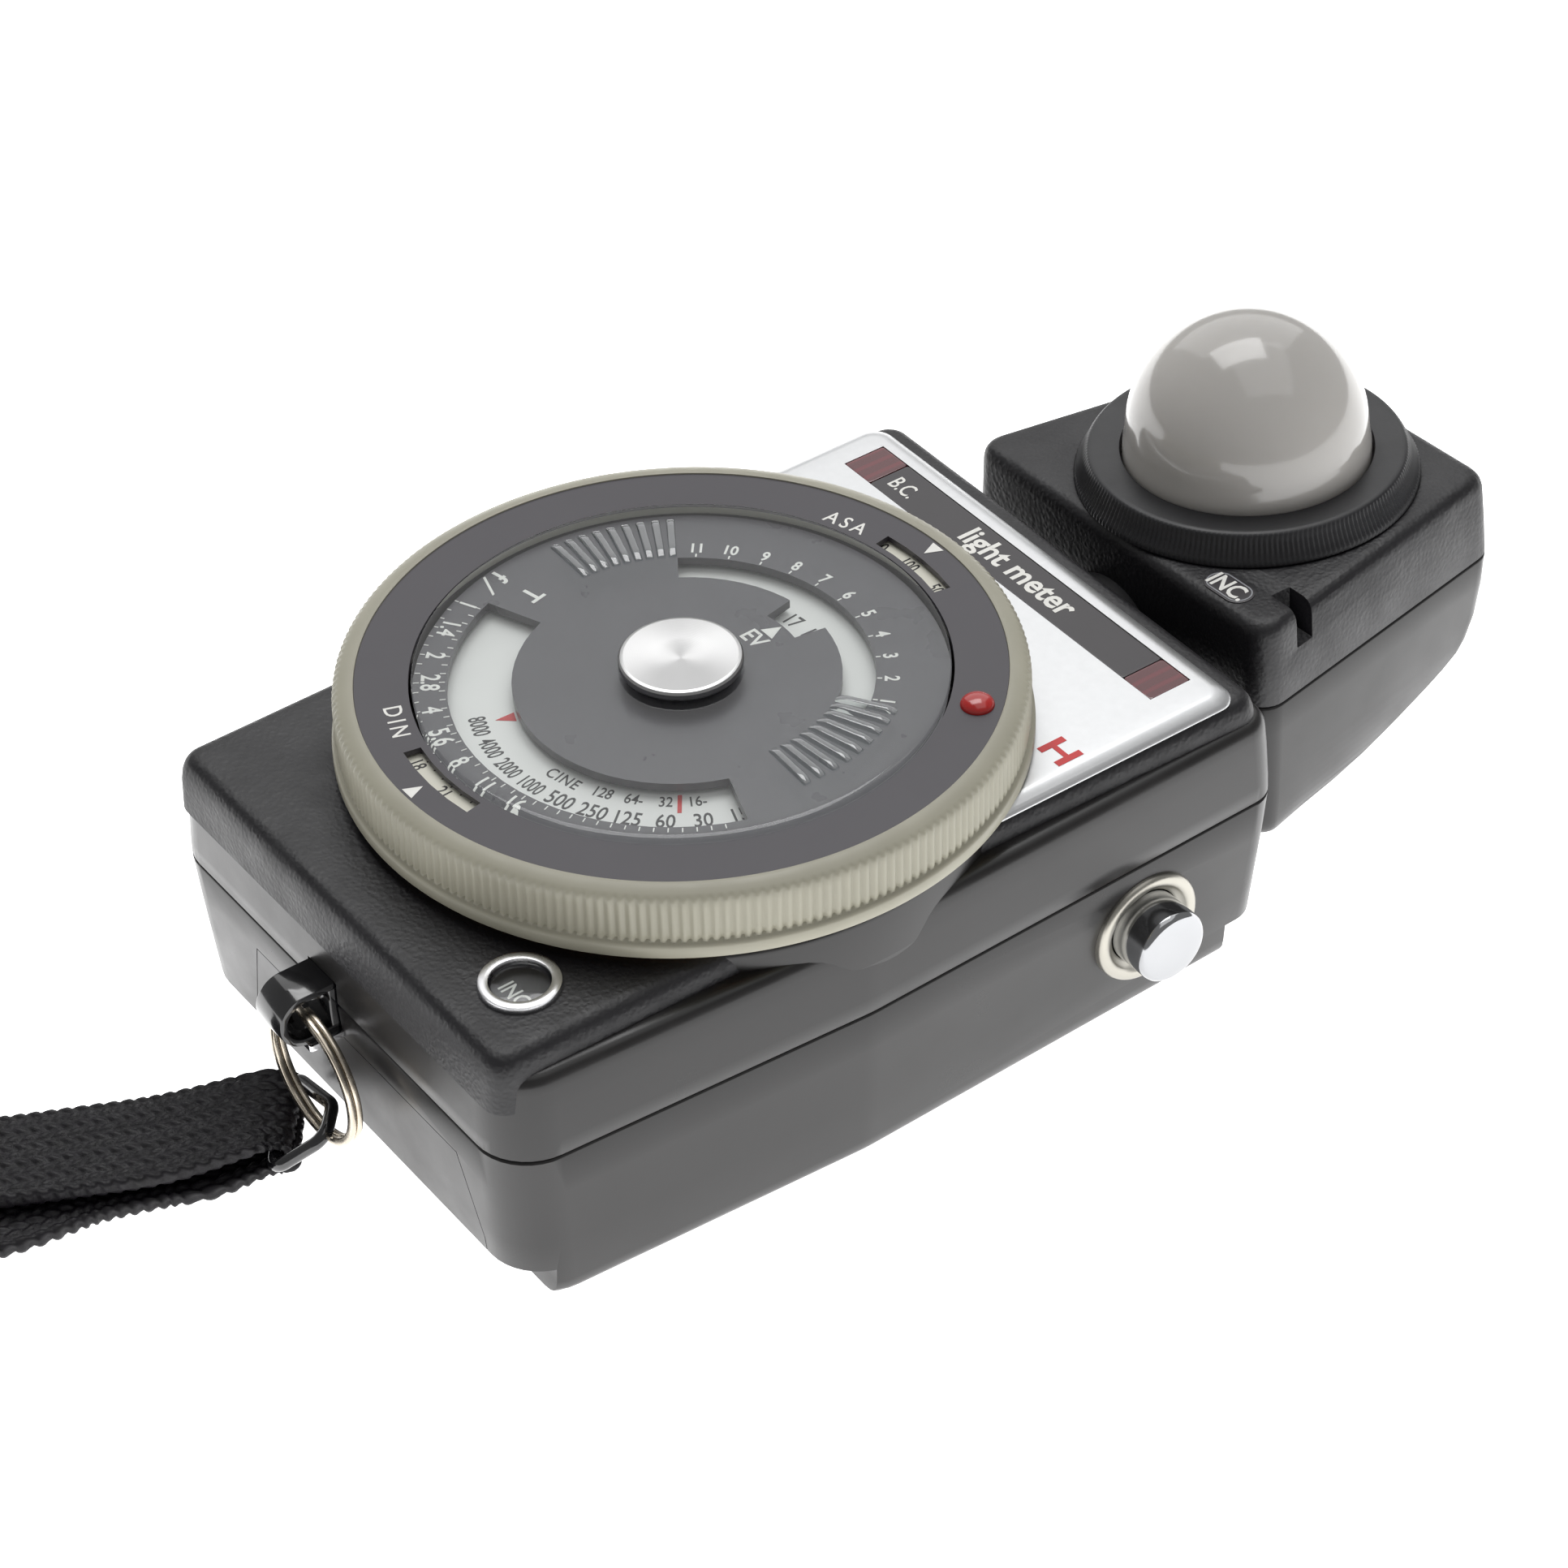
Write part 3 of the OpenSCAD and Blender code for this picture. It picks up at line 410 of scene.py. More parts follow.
def make(name, verts, faces, mat, angle=38):
    me = bpy.data.meshes.new(name)
    me.from_pydata([(x * MM, y * MM, z * MM) for x, y, z in verts], [], faces)
    me.update()
    bm = bmesh.new()
    bm.from_mesh(me)
    bmesh.ops.remove_doubles(bm, verts=bm.verts, dist=1e-7)
    bmesh.ops.recalc_face_normals(bm, faces=bm.faces)
    bm.to_mesh(me)
    bm.free()
    ob = bpy.data.objects.new(name, me)
    SCENE.collection.objects.link(ob)
    me.materials.append(mat.m)
    smooth(ob, angle)
    return ob


def smooth(ob, angle=38):
    me = ob.data
    me.shade_smooth()
    me.set_sharp_from_angle(angle=math.radians(angle))


def settle(ob):
    """Bakes the modifiers into the mesh."""
    dg = bpy.context.evaluated_depsgraph_get()
    me = bpy.data.meshes.new_from_object(ob.evaluated_get(dg), preserve_all_data_layers=True, depsgraph=dg)
    old = ob.data
    ob.modifiers.clear()
    ob.data = me
    bpy.data.meshes.remove(old)


def bevel(ob, width, angle=40, segments=3):
    b = ob.modifiers.new("bevel", "BEVEL")
    b.width = width * MM
    b.segments = segments
    b.limit_method = "ANGLE"
    b.angle_limit = math.radians(angle)
    b.miter_outer = "MITER_ARC"
    settle(ob)
    smooth(ob)


def boolean(ob, cutter, op="DIFFERENCE"):
    m = ob.modifiers.new("cut", "BOOLEAN")
    m.operation = op
    m.solver = "EXACT"
    m.object = cutter
    settle(ob)
    bpy.data.objects.remove(cutter)
    smooth(ob)


def loft(name, rings, mat, angle=38, closed=False):
    """Skin over rings with the same number of points, capped unless the last joins the first."""
    n = len(rings[0])
    verts = [p for r in rings for p in r]
    faces = []
    k = len(rings)
    for i in range(k if closed else k - 1):
        j = (i + 1) % k
        for a in range(n):
            b = (a + 1) % n
            faces.append((i * n + a, i * n + b, j * n + b, j * n + a))
    if not closed:
        faces.append(tuple(range(n - 1, -1, -1)))
        faces.append(tuple((k - 1) * n + a for a in range(n)))
    return make(name, verts, faces, mat, angle)


def box(name, lo, hi, mat):
    (a, b, c), (d, e, f) = lo, hi
    v = [(a, b, c), (d, b, c), (d, e, c), (a, e, c), (a, b, f), (d, b, f), (d, e, f), (a, e, f)]
    q = [(3, 2, 1, 0), (4, 5, 6, 7), (0, 1, 5, 4), (1, 2, 6, 5), (2, 3, 7, 6), (3, 0, 4, 7)]
    return make(name, v, q, mat)


def soften(profile, r, n=3):
    """Rounds the corners between the ends of a profile of (radius, height) points."""
    out = [profile[0]]
    for i in range(1, len(profile) - 1):
        a, b, c = profile[i - 1], profile[i], profile[i + 1]
        la, lc = math.dist(a, b), math.dist(b, c)
        u, v = (Vector(a) - Vector(b)).normalized(), (Vector(c) - Vector(b)).normalized()
        bend = math.pi - math.acos(max(-1, min(1, u.dot(v))))
        if bend < 0.05:
            out.append(b)
            continue
        cut = min(r * math.tan(bend / 2), la * 0.48, lc * 0.48)
        rr = cut / math.tan(bend / 2)
        out += corner_arc(a, b, c, rr, n) if rr > 1e-4 else [b]
    return out + [profile[-1]]


def lathe(name, profile, mat, n=128, axis="Z", at=(0, 0, 0), wave=None, closed=False, angle=38):
    """Turns a profile of (radius, height) points; wave(i, r, z) moves the radius for knurls."""
    verts, faces = [], []
    k = len(profile)
    for i in range(n):
        t = 2 * math.pi * i / n
        for r, z in profile:
            rr = wave(i, r, z) if wave else r
            x, y = rr * math.cos(t), rr * math.sin(t)
            p = (x, y, z) if axis == "Z" else (z, x, y)
            verts.append((p[0] + at[0], p[1] + at[1], p[2] + at[2]))
    for i in range(n):
        j = (i + 1) % n
        for a in range(k if closed else k - 1):
            b = (a + 1) % k
            faces.append((i * k + a, j * k + a, j * k + b, i * k + b))
    return make(name, verts, faces, mat, angle)


def drill(r, lo, hi, mat=M_INSIDE, n=64, axis="Z", at=(0, 0, 0)):
    """A round cutter."""
    return lathe("drill", [(0, lo), (r, lo), (r, hi), (0, hi)], mat, n, axis, at)


def join(name, obs):
    bm = bmesh.new()
    mats = []
    for o in obs:
        for m in o.data.materials:
            if m not in mats:
                mats.append(m)
        index = [mats.index(m) for m in o.data.materials]
        start = len(bm.faces)
        me = o.data.copy()
        me.transform(o.matrix_world)
        bm.from_mesh(me)
        bm.faces.ensure_lookup_table()
        for f in bm.faces[start:]:
            f.material_index = index[min(f.material_index, len(index) - 1)] if index else 0
        bpy.data.meshes.remove(me)
    me = bpy.data.meshes.new(name)
    bm.to_mesh(me)
    bm.free()
    for m in mats:
        me.materials.append(m)
    ob = bpy.data.objects.new(name, me)
    SCENE.collection.objects.link(ob)
    for o in obs:
        bpy.data.objects.remove(o)
    return ob


def move(ob, matrix):
    ob.data.transform(matrix)
    return ob


def tilt_head(ob):
    """From the head's own upright frame to where the head lies."""
    turn = Matrix.Rotation(math.radians(HEAD_TURN), 4, "Y")
    return move(ob, Matrix.Translation((0, 0, NECK_Z * MM)) @ turn)


def put(ob, body, *nodes, slot=None):
    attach(ob, body)
    if nodes:
        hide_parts(*nodes)
    return ob


def wire_loop(name, path, r, mat, n=18):
    """A round wire along a closed path that lies flat."""
    pts = [Vector(p) for p in path]
    circle = [(r * math.cos(2 * math.pi * i / n), r * math.sin(2 * math.pi * i / n)) for i in range(n)]
    rings = []
    for i, p in enumerate(pts):
        d = (pts[(i + 1) % len(pts)] - pts[i - 1]).normalized()
        side = d.cross(Vector((0, 0, 1))).normalized()
        nrm = side.cross(d).normalized()
        rings.append([tuple(p + side * a + nrm * b) for a, b in circle])
    return loft(name, rings, mat, 50, True)


# ------ wrist strap


def spline(p, steps):
    """A smooth curve through the points, with so many steps from each to the next."""
    p = [Vector(q) for q in p]
    out = []
    for i in range(len(p) - 1):
        a, b, c, d = p[max(i - 1, 0)], p[i], p[i + 1], p[min(i + 2, len(p) - 1)]
        for k in range(steps):
            t = k / steps
            q = 2 * b + (c - a) * t
            q = q + (2 * a - 5 * b + 4 * c - d) * t * t
            out.append(0.5 * (q + (3 * b - a - 3 * c + d) * t * t * t))
    return out + [p[-1]]


# middle of the strap, from the fold over the wire loop out to the far end and back
STRAP_ROUTE = [
    (-4.6, -47.2, 5.2), (-5.6, -48.9, 5.1), (-6.6, -51.4, 4.6), (-8.1, -55.2, 3.9),
    (-9.9, -59.4, 3.5), (-12.8, -65, 3.3), (-16.5, -72.2, 3.2), (-20.8, -80.4, 3.2),
    (-26.4, -90, 3.2), (-33, -101, 3.2), (-40.6, -113, 3.2), (-49, -125.4, 3.2),
    (-58, -138, 3.3), (-67.4, -150.6, 3.9), (-76.4, -162.4, 5.4), (-82, -169.6, 6.6),
    (-86.2, -174.4, 6.9), (-89.2, -177, 5.6), (-89.6, -176.4, 2.8), (-86.4, -174.8, 1.2),
    (-80.8, -170, 0.9), (-71.6, -161.6, 0.85), (-61.2, -150.4, 0.85), (-51, -138.2, 0.85),
    (-41.4, -125.2, 0.85), (-32.2, -112, 0.85), (-24, -99.2, 0.85), (-17.4, -86.6, 0.85),
    (-13.2, -75.2, 0.85), (-11.8, -66.4, 0.85), (-9.2, -59.2, 0.95), (-7.2, -55.4, 1.15),
    (-6.2, -52, 1.5), (-5.4, -49.4, 1.9), (-4.6, -47.6, 2),
]
WRAP_IN = [(-3.6, -45.8, 3.6), (-3.7, -46.0, 4.5), (-4.1, -46.5, 5.05)]
WRAP_OUT = [(-4.0, -46.8, 2.0), (-3.65, -46.1, 2.5), (-3.6, -45.85, 3.35)]
STRAP_W, STRAP_T = 12.4, 1.6
STRAP_EDGE = 0.7  # reach of the round edges
STITCH, COLUMNS = 1.55, 11  # length of a stitch and how many lie side by side


def resample(pts, step):
    """Evenly spaced points on the curve and its length."""
    total = [0]
    for a, b in zip(pts, pts[1:]):
        total.append(total[-1] + (b - a).length)
    n = max(2, round(total[-1] / step))
    out, j = [], 0
    for i in range(n + 1):
        s = total[-1] * i / n
        while j < len(pts) - 2 and total[j + 1] < s:
            j += 1
        t = (s - total[j]) / max(total[j + 1] - total[j], 1e-9)
        out.append(pts[j].lerp(pts[j + 1], t))
    return out, total[-1]


def band_outline(half, steps=46):
    """Outline of a flat band, as (across, up, (outward across, outward up))."""
    out = []
    for side in (1, -1):
        for k in range(steps + 1):
            x = side * (-half + STRAP_EDGE + (STRAP_W - 2 * STRAP_EDGE) * k / steps)
            out.append((x, side * STRAP_T / 2, (0, side)))
        for k in range(1, 6):
            a = side * math.pi / 2 - math.pi * k / 6
            x = side * (half - STRAP_EDGE) + STRAP_EDGE * math.cos(a)
            out.append((x, STRAP_T / 2 * math.sin(a), (math.cos(a), math.sin(a))))
    return out


def stitch(s, x, half, flip):
    """Height of the braid's stitches at s along the strap and x across it."""
    c = (x + half) / STRAP_W * COLUMNS
    ci = min(COLUMNS - 1, max(0, math.floor(c)))
    fx = c - ci
    lean = 0.75 if (ci + flip) % 2 else -0.75
    ph = s / STITCH + lean * (fx - 0.5) + 0.5 * (ci % 2)
    fs = ph - math.floor(ph)
    across = 1 - abs(2 * fx - 1) ** 3
    along = 1 - abs(2 * fs - 1) ** 2.4
    return 0.4 * across * along - 0.3


def strap():
    line, length = resample(spline(WRAP_IN + STRAP_ROUTE + WRAP_OUT, 12), 0.24)
    n = len(line)
    half = STRAP_W / 2
    outline = band_outline(half)
    rings = []
    across = Vector((0.80, -0.60, 0))  # about the same all along the strap
    for i, p in enumerate(line):
        d = (line[min(i + 1, n - 1)] - line[max(i - 1, 0)]).normalized()
        up = across.cross(d).normalized()
        side = d.cross(up).normalized()
        s = length * i / (n - 1)
        end = min(s, length - s)
        narrow = 1 - 0.06 * math.exp(-end / 5)
        flatter = 0.3 * math.exp(-((end / 9) ** 2))
        # the first fold keeps clear of the split ring when that swings out
        ring_room = 0.2 * math.exp(-((s / 6) ** 2))
        p = p + up * (2 * ring_room)
        ring = []
        for x, z, (ox, oz) in outline:
            under = 0 if z >= 0 else 1
            h = stitch(s, x, half, under) - flatter - under * ring_room
            edge = 0.18 * math.sin(2 * math.pi * s / STITCH) if abs(x) > half - 0.8 else 0
            q = p + side * ((x + ox * (h + edge)) * narrow) + up * (z + oz * h)
            ring.append(tuple(q))
        rings.append(ring)
    ob = loft("wrist_strap_braid", rings, M_BRAID, 180)
    put(ob, "strap", "wrist_strap", slot="braid")


strap()

# ------ body


BODY_Y0, WIDEST_Y, BODY_Y1 = -42.4, -1.8, 51.2
HALF_NEAR, HALF_WIDEST, HALF_FAR = 31.1, 33.5, 32.2


def half_width(y):
    if y < WIDEST_Y:
        return HALF_NEAR + (HALF_WIDEST - HALF_NEAR) * (y - BODY_Y0) / (WIDEST_Y - BODY_Y0)
    return HALF_WIDEST + (HALF_FAR - HALF_WIDEST) * (y - WIDEST_Y) / (BODY_Y1 - WIDEST_Y)


def body_ring(z, ix0, ix1=None, e0=None, e1=None, r0=6.0, r1=3.5):
    """Plan of the body at height z, drawn in by ix0..ix1 at the sides and e0, e1 at the ends.

    A single inset serves for all four."""
    ix1, e0, e1 = (ix0 if v is None else v for v in (ix1, e0, e1))
    a, m, b = BODY_Y0 + e0, WIDEST_Y, BODY_Y1 - e1

    def x(y):
        t = (y - BODY_Y0) / (BODY_Y1 - BODY_Y0)
        return half_width(y) - (ix0 * (1 - t) + ix1 * t)

    pts = [(-x(a), a), (x(a), a), (x(m), m), (x(b), b), (-x(b), b), (-x(m), m)]
    return [(px, py, z) for px, py in rounded(pts, [r0, r0, 24, r1, r1, 24], 9)]


# height, insets, corner radii
COVER_RINGS = [
    (20.02, 0.34), (20.10, 0.14), (20.26, 0.03),
    (22.0, 0.10, 0.08, 0.06, 0.08),
    (26.0, 0.42, 0.30, 0.16, 0.3),
    (27.9, 0.66, 0.45, 0.24, 0.45),
    (28.7, 0.86, 0.58, 0.4, 0.6, 5.6, 3.3),
    (29.2, 1.12, 0.78, 0.7, 0.85, 5.3, 3.1),
    (29.52, 1.46, 1.08, 1.1, 1.2, 5.0, 2.8),
    (29.68, 1.85, 1.45, 1.5, 1.6, 4.6, 2.5),
    (29.74, 2.3, 1.9, 1.9, 2.0, 4.2, 2.2),
    (29.8, 4.2, 3.6, 2.6, 2.6, 3.2, 1.8),
]
# height, inset, corner radius
DECK_RINGS = [
    (26.0, 0.02, 2.6), (29.4, 0.16, 2.5), (30.6, 0.34, 2.4), (31.3, 0.56, 2.3), (31.75, 0.84, 2.1),
    (32.05, 1.2, 1.9), (32.22, 1.62, 1.7), (32.29, 2.1, 1.5), (32.3, 2.7, 1.2), (32.3, 4.5, 0.8),
]
CASE_RINGS = [
    (19.98, 0.34), (19.90, 0.14), (19.74, 0.03), (15.0, 0.30), (8.0, 0.78), (2.2, 1.20),
    (1.2, 1.36), (0.6, 1.66), (0.2, 2.10), (0.0, 2.70), (0.0, 3.60),
]


def deck_ring(z, d, r):
    x0, x1, y0, y1 = 29.5 - d, 31.0 - d, -42.26 + d, 49.75 - d
    pts = [(-x0, y0), (x0, y0), (x1, y1), (-x1, y1)]
    return [(x, y, z) for x, y in rounded(pts, r, 8)]


def neck_hole(ob):
    turn = Matrix.Rotation(-math.pi / 2, 4, "X")
    boolean(ob, move(drill(9.75, 46.6, 53), Matrix.Translation((0, 0, NECK_Z * MM)) @ turn))


def lug_hole(ob):
    boolean(ob, box("lug_hole", (-4.4, -45, 16.6), (0.8, -38, 22.8), M_INSIDE))


def cover():
    shell = loft("cover_shell", [body_ring(*row) for row in COVER_RINGS], M_SATIN)
    deck = loft("cover_deck", [deck_ring(*row) for row in DECK_RINGS], M_GRAIN)
    rim = soften([(32.9, 24.0), (33.2, 26), (33.2, 32.28), (20, 32.32)], 0.9, 4)
    boss = lathe("cover_boss", [(20, 24.0)] + rim, M_SATIN, 160)
    neck_hole(shell)
    lug_hole(shell)
    boolean(deck, drill(3.4, 29, 34, at=DECK_WINDOW_AT))
    put(join("top_cover_looks", [shell, deck, boss]), "housing", "top_cover", slot="black_cover")


def case_solid(name):
    """Lower half of the body, solid, with the deeper middle of its back."""
    ob = loft(name, [body_ring(*row) for row in CASE_RINGS], M_SATIN)
    boolean(ob, box("step_a", (-40, -50, -3), (40, -37.5, 4.2), M_SATIN))
    boolean(ob, box("step_b", (-40, 45.2, -3), (40, 60, 4.2), M_SATIN))
    bevel(ob, 1.0, 62, 4)
    return ob


def door_outline(g):
    """Outline of the door's end plate across the case, grown by g."""
    left, right, top = -18.3 - g, 23.7 + g, 15.6 + g
    return [(-15.5 - g, top), (20.9 + g, top), (right, 6), (right, -3), (left, -3), (left, 6)]


def door_block(name, g):
    """The door's share of the case: a plate on the strap end and a plate in the back."""
    out = [(x, -48.0, z) for x, z in door_outline(g)]
    inn = [(x, -39.6 + g, z) for x, z in door_outline(g)]
    a = loft(name, [out, inn], M_SATIN)
    b = box("door_back", (-18.3 - g, -44, -3), (23.7 + g, 14.5 + g, 6.0 + g), M_SATIN)
    boolean(a, b, "UNION")
    return a


def case():
    def cavity():
        rings = [body_ring(21.0, 1.8, r0=5, r1=3), body_ring(1.8, 3.2, r0=4, r1=2.5)]
        c = loft("cavity", rings, M_INSIDE)
        boolean(c, box("step_a", (-40, -50, -3), (40, -35.7, 6.0), M_INSIDE))
        boolean(c, box("step_b", (-40, 43.4, -3), (40, 60, 6.0), M_INSIDE))
        return c

    ob = case_solid("rear_case_looks")
    ob.data.materials.append(M_INSIDE.m)
    boolean(ob, cavity())
    boolean(ob, door_block("door_gap", 0.11))
    neck_hole(ob)
    boolean(ob, drill(4.7, 26, 36, axis="X", at=BUTTON_AT))
    lug_hole(ob)
    for x, y in ((-25.5, -34), (27.2, -34), (-27.6, 41), (27.6, 41)):
        boolean(ob, drill(2.2, -1, 3.2, n=32, at=(x, y, 0)))
    put(ob, "housing", "rear_case", slot="black_cover")

    door = case_solid("battery_door_looks")
    boolean(door, cavity())
    boolean(door, door_block("door_share", 0.0), "INTERSECT")
    put(door, "door", "battery_door", slot="black_cover")


cover()
case()

# ------ name plate


# height, inset
PLATE_RINGS = [
    (32.32, 0.0), (32.42, 0.02), (32.62, 0.16), (32.86, 0.48), (33.06, 0.88), (33.20, 1.22),
    (33.28, 1.5), (33.30, 1.8), (33.30, 3.2),
]


def plate():
    def ring(z, d):
        near, far, r = 30.0 - d, 30.0 - d * 1.05, max(2.4 - d * 0.5, 0.8)
        pts = [(-near, 2), (near, 2), (far, 46.95 - d), (-far, 46.95 - d)]
        return [(x, y, z) for x, y in rounded(pts, [0.5, 0.5, r, r], 8)]

    ob = loft("name_plate_looks", [ring(*row) for row in PLATE_RINGS], M_PLATE)
    boolean(ob, drill(34.0, 31, 35, M_PLATE, 180))
    boolean(ob, box("band_cut", (-25.8, 39.2, 32.6), (25.2, 44.4, 34), M_PLATE))
    put(ob, "housing", "name_plate", slot="silver_plate")


plate()


def rounded_slab(name, x0, x1, y0, y1, z0, z1, mat, r=0.3, edge=0.08):
    """A slab with round corners and a softened upper edge."""

    def ring(z, d):
        pts = [(x0 + d, y0 + d), (x1 - d, y0 + d), (x1 - d, y1 - d), (x0 + d, y1 - d)]
        return [(x, y, z) for x, y in rounded(pts, r, 4)]

    steps = ((z0, 0), (z1 - edge, 0), (z1 - edge * 0.3, edge * 0.3), (z1, edge), (z1, edge * 3))
    return loft(name, [ring(z, d) for z, d in steps], mat)


for name, x0, x1, z1, mat, node, slot in (
    ("legend_band_looks", -21.35, 20.75, 33.26, M_BAND, "legend_band", "legend_ink"),
    ("battery_window_looks", -25.75, -21.45, 33.27, M_RED, "battery_check_window", "red_window"),
    ("reading_window_looks", 20.85, 25.15, 33.27, M_RED, "reading_window", "red_window"),
):
    slab = rounded_slab(name, x0, x1, BAND_Y0, BAND_Y1, 32.62, z1, mat)
    put(slab, "housing", node, slot=slot)


# ------ dial


KNURL = (0.0, 0.05, 0.27, 0.27, 0.05)  # depths over the steps round one tooth
KNURL_Z0, KNURL_Z1, KNURL_TEETH = 35.35, 40.25, 216


def film_ring():
    def knurl(i, r, z):
        return r - KNURL[i % len(KNURL)] if KNURL_Z0 < z < KNURL_Z1 and r > 33.6 else r

    prof = [
        (30.5, 34.4), (30.5, 33.5), (34.55, 33.5), (34.82, 33.58), (34.9, 33.8), (34.9, 34.75),
        (34.8, 35.02), (34.6, 35.14), (34.42, 35.2), (34.40, 35.38), (34.48, 35.5), (34.5, 36.2),
        (34.5, 37.6), (34.5, 39.2), (34.48, 39.9), (34.34, 40.22), (34.05, 40.45), (33.7, 40.62),
        (33.3, 40.8), (32.85, 40.93), (32.5, 40.98), (32.3, 40.92), (32.25, 40.7), (32.25, 40.2),
        (31.8, 40.2), (31.8, 34.4),
    ]
    steps = KNURL_TEETH * len(KNURL)
    ob = lathe("film_speed_ring_looks", prof, M_KHAKI, steps, wave=knurl, closed=True, angle=50)
    put(ob, "film_speed_dial", "film_speed_ring", slot="khaki_ring")


film_ring()


# section of a finger rib, as (across, up)
RIB = [(0.42, 0), (0.4, 0.38), (0.35, 0.47), (0.26, 0.51)]
RIB += [(-x, z) for x, z in RIB[::-1]]
RIB_FOOT = 41.27
RIB_GROUPS = ((147.5, 178, 17.4, 23.6), (-3, 32, 16.4, 22.6))  # angles and radii from and to
RIBS = 9  # in a group


def clear_disc():
    prof = [
        (2.1, 40.2), (26.3, 40.2), (26.55, 40.32), (26.6, 40.5), (26.6, 41.02), (26.5, 41.2),
        (26.25, 41.3), (25.6, 41.3), (25.2, 41.26), (2.1, 41.26),
    ]
    parts = [lathe("clear_plate", prof, M_CLEAR, 160, closed=True)]
    for a0, a1, r0, r1 in RIB_GROUPS:
        for i in range(RIBS):
            t = math.radians(a0 + (a1 - a0) * i / (RIBS - 1))
            u, w = Vector((math.cos(t), math.sin(t), 0)), Vector((-math.sin(t), math.cos(t), 0))
            rings = []
            for k in range(13):
                q = k / 12
                r = r0 + (r1 - r0) * q
                e = min(1, 6 * q + 0.15, 6 * (1 - q) + 0.15)
                ring = []
                for px, pz in RIB:
                    p = u * r + w * px
                    ring.append((p.x, p.y, RIB_FOOT + pz * e ** 0.5))
                rings.append(ring)
            parts.append(loft("rib", rings, M_RIB, 50))
    ob = join("clear_disc_looks", parts)
    put(ob, "calculator_disc", "clear_disc", slot="clear_disc")


clear_disc()


def knob():
    prof = [
        (5.6, 41.32), (6.1, 41.36), (6.2, 41.6), (6.2, 42.12), (6.02, 42.34), (5.7, 42.42),
        (3.0, 42.18), (0, 41.98),
    ]
    prof = [(0, 41.32)] + soften(prof, 0.08, 2)
    ob = lathe("centre_knob_looks", prof, M_KNOB, 160, angle=30)
    put(ob, "calculator_disc", "centre_knob", slot="knob")


knob()


def quarter(n):
    """Angles from 0 to a right angle in n steps."""
    return [math.pi / 2 * i / n for i in range(n + 1)]


def stud():
    prof = [(0, 40.7), (1.72, 40.7)]
    prof += [(1.72 * math.cos(a), 40.78 + math.sin(a)) for a in quarter(14)]
    ob = lathe("index_stud_looks", prof, M_STUD, 48, at=(22.5, 19.35, 0))
    put(ob, "film_speed_dial", "index_stud", slot="red_stud")


stud()


def bezel():
    prof = [
        (2.86, 32.4), (2.9, 32.75), (3.02, 32.95), (3.25, 33.02), (3.72, 33.02), (3.98, 32.9),
        (4.1, 32.62), (4.1, 32.3), (2.86, 32.2),
    ]
    ob = lathe("mode_bezel_looks", prof, M_SATIN_CHROME, 96, at=DECK_WINDOW_AT, closed=True)
    put(ob, "housing", "mode_window_bezel", slot="knob")
    lens = [(0, 32.0), (2.84, 32.0), (2.84, 32.42), (2.5, 32.5), (1.4, 32.56), (0, 32.58)]
    ob = lathe("mode_lens_looks", lens, M_LENS, 64, at=DECK_WINDOW_AT)
    put(ob, "housing", "mode_window_lens", slot="clear_disc")


bezel()

# ------ button


def button():
    prof = [
        (4.2, 30.0), (4.2, 32.3), (4.45, 32.5), (4.75, 32.62), (4.95, 32.95), (5.15, 33.18),
        (5.45, 33.26), (5.95, 33.2), (6.2, 33.02), (6.3, 32.7), (6.3, 31.4), (4.6, 31.4), (4.6, 30.0),
    ]
    ob = lathe("button_escutcheon_looks", prof, M_FLANGE, 112, "X", BUTTON_AT, closed=True)
    put(ob, "housing", "button_escutcheon", slot="button_chrome")
    # the groove in the back takes in the spring
    prof = [
        (0, 27.6), (2.7, 27.6), (2.7, 29.7), (3.7, 29.7), (3.7, 27.6), (5.3, 27.6), (5.3, 28.6),
        (4.1, 28.6), (4.1, 36.35), (4.02, 36.75), (3.82, 37.02), (3.5, 37.16), (2.0, 37.2), (0, 37.2),
    ]
    ob = lathe("measuring_button_looks", prof, M_BUTTON, 112, "X", BUTTON_AT)
    put(ob, "button", "measuring_button", slot="button_chrome")


button()

# ------ head


def head_ring(z, d, y1):
    """Plan of the head at height z, drawn in by d, with its far end at y1."""
    y0, near = 55.3, 24.6
    far = near + (17.6 - near) * (y1 - y0) / (94.2 - y0)
    pts = [(-near + d, y0 + d), (near - d, y0 + d), (far - d, y1 - d), (-far + d, y1 - d)]
    radii = [max(2.8 - d * 0.6, 0.5)] * 2 + [max(3.4 - d * 0.6, 0.5)] * 2
    return [(x, y, z) for x, y in rounded(pts, radii, 8)]


HEAD_TOP_RINGS = [
    (3.62, 0.3, 94.2), (3.70, 0.12, 94.2), (3.86, 0.02, 94.2), (8.0, 0.16, 94.1), (12.0, 0.36, 93.95),
    (12.7, 0.52, 93.9), (13.15, 0.82, 93.85), (13.42, 1.2, 93.8), (13.56, 1.65, 93.75),
    (13.6, 2.2, 93.7), (13.6, 3.6, 93.7),
]
HEAD_BOTTOM_RINGS = [
    (3.58, 0.3, 94.2), (3.50, 0.12, 94.2), (3.34, 0.02, 94.2), (0, 0.1, 93.95), (-4, 0.3, 93.3),
    (-6.4, 0.5, 92.4), (-7.6, 0.6, 91.4), (-8.6, 0.7, 89.4), (-9.6, 0.8, 86.6), (-10.6, 0.92, 83.4),
    (-11.6, 1.05, 80.0), (-12.5, 1.2, 76.6), (-13.3, 1.4, 72.4), (-14.0, 1.7, 67.6), (-14.5, 2.1, 63.8),
    (-14.9, 2.8, 61.4), (-15.1, 3.6, 60.2),
]
DOME_Z, DOME_R, DOME_WALL = 19.2, 13.0, 1.2
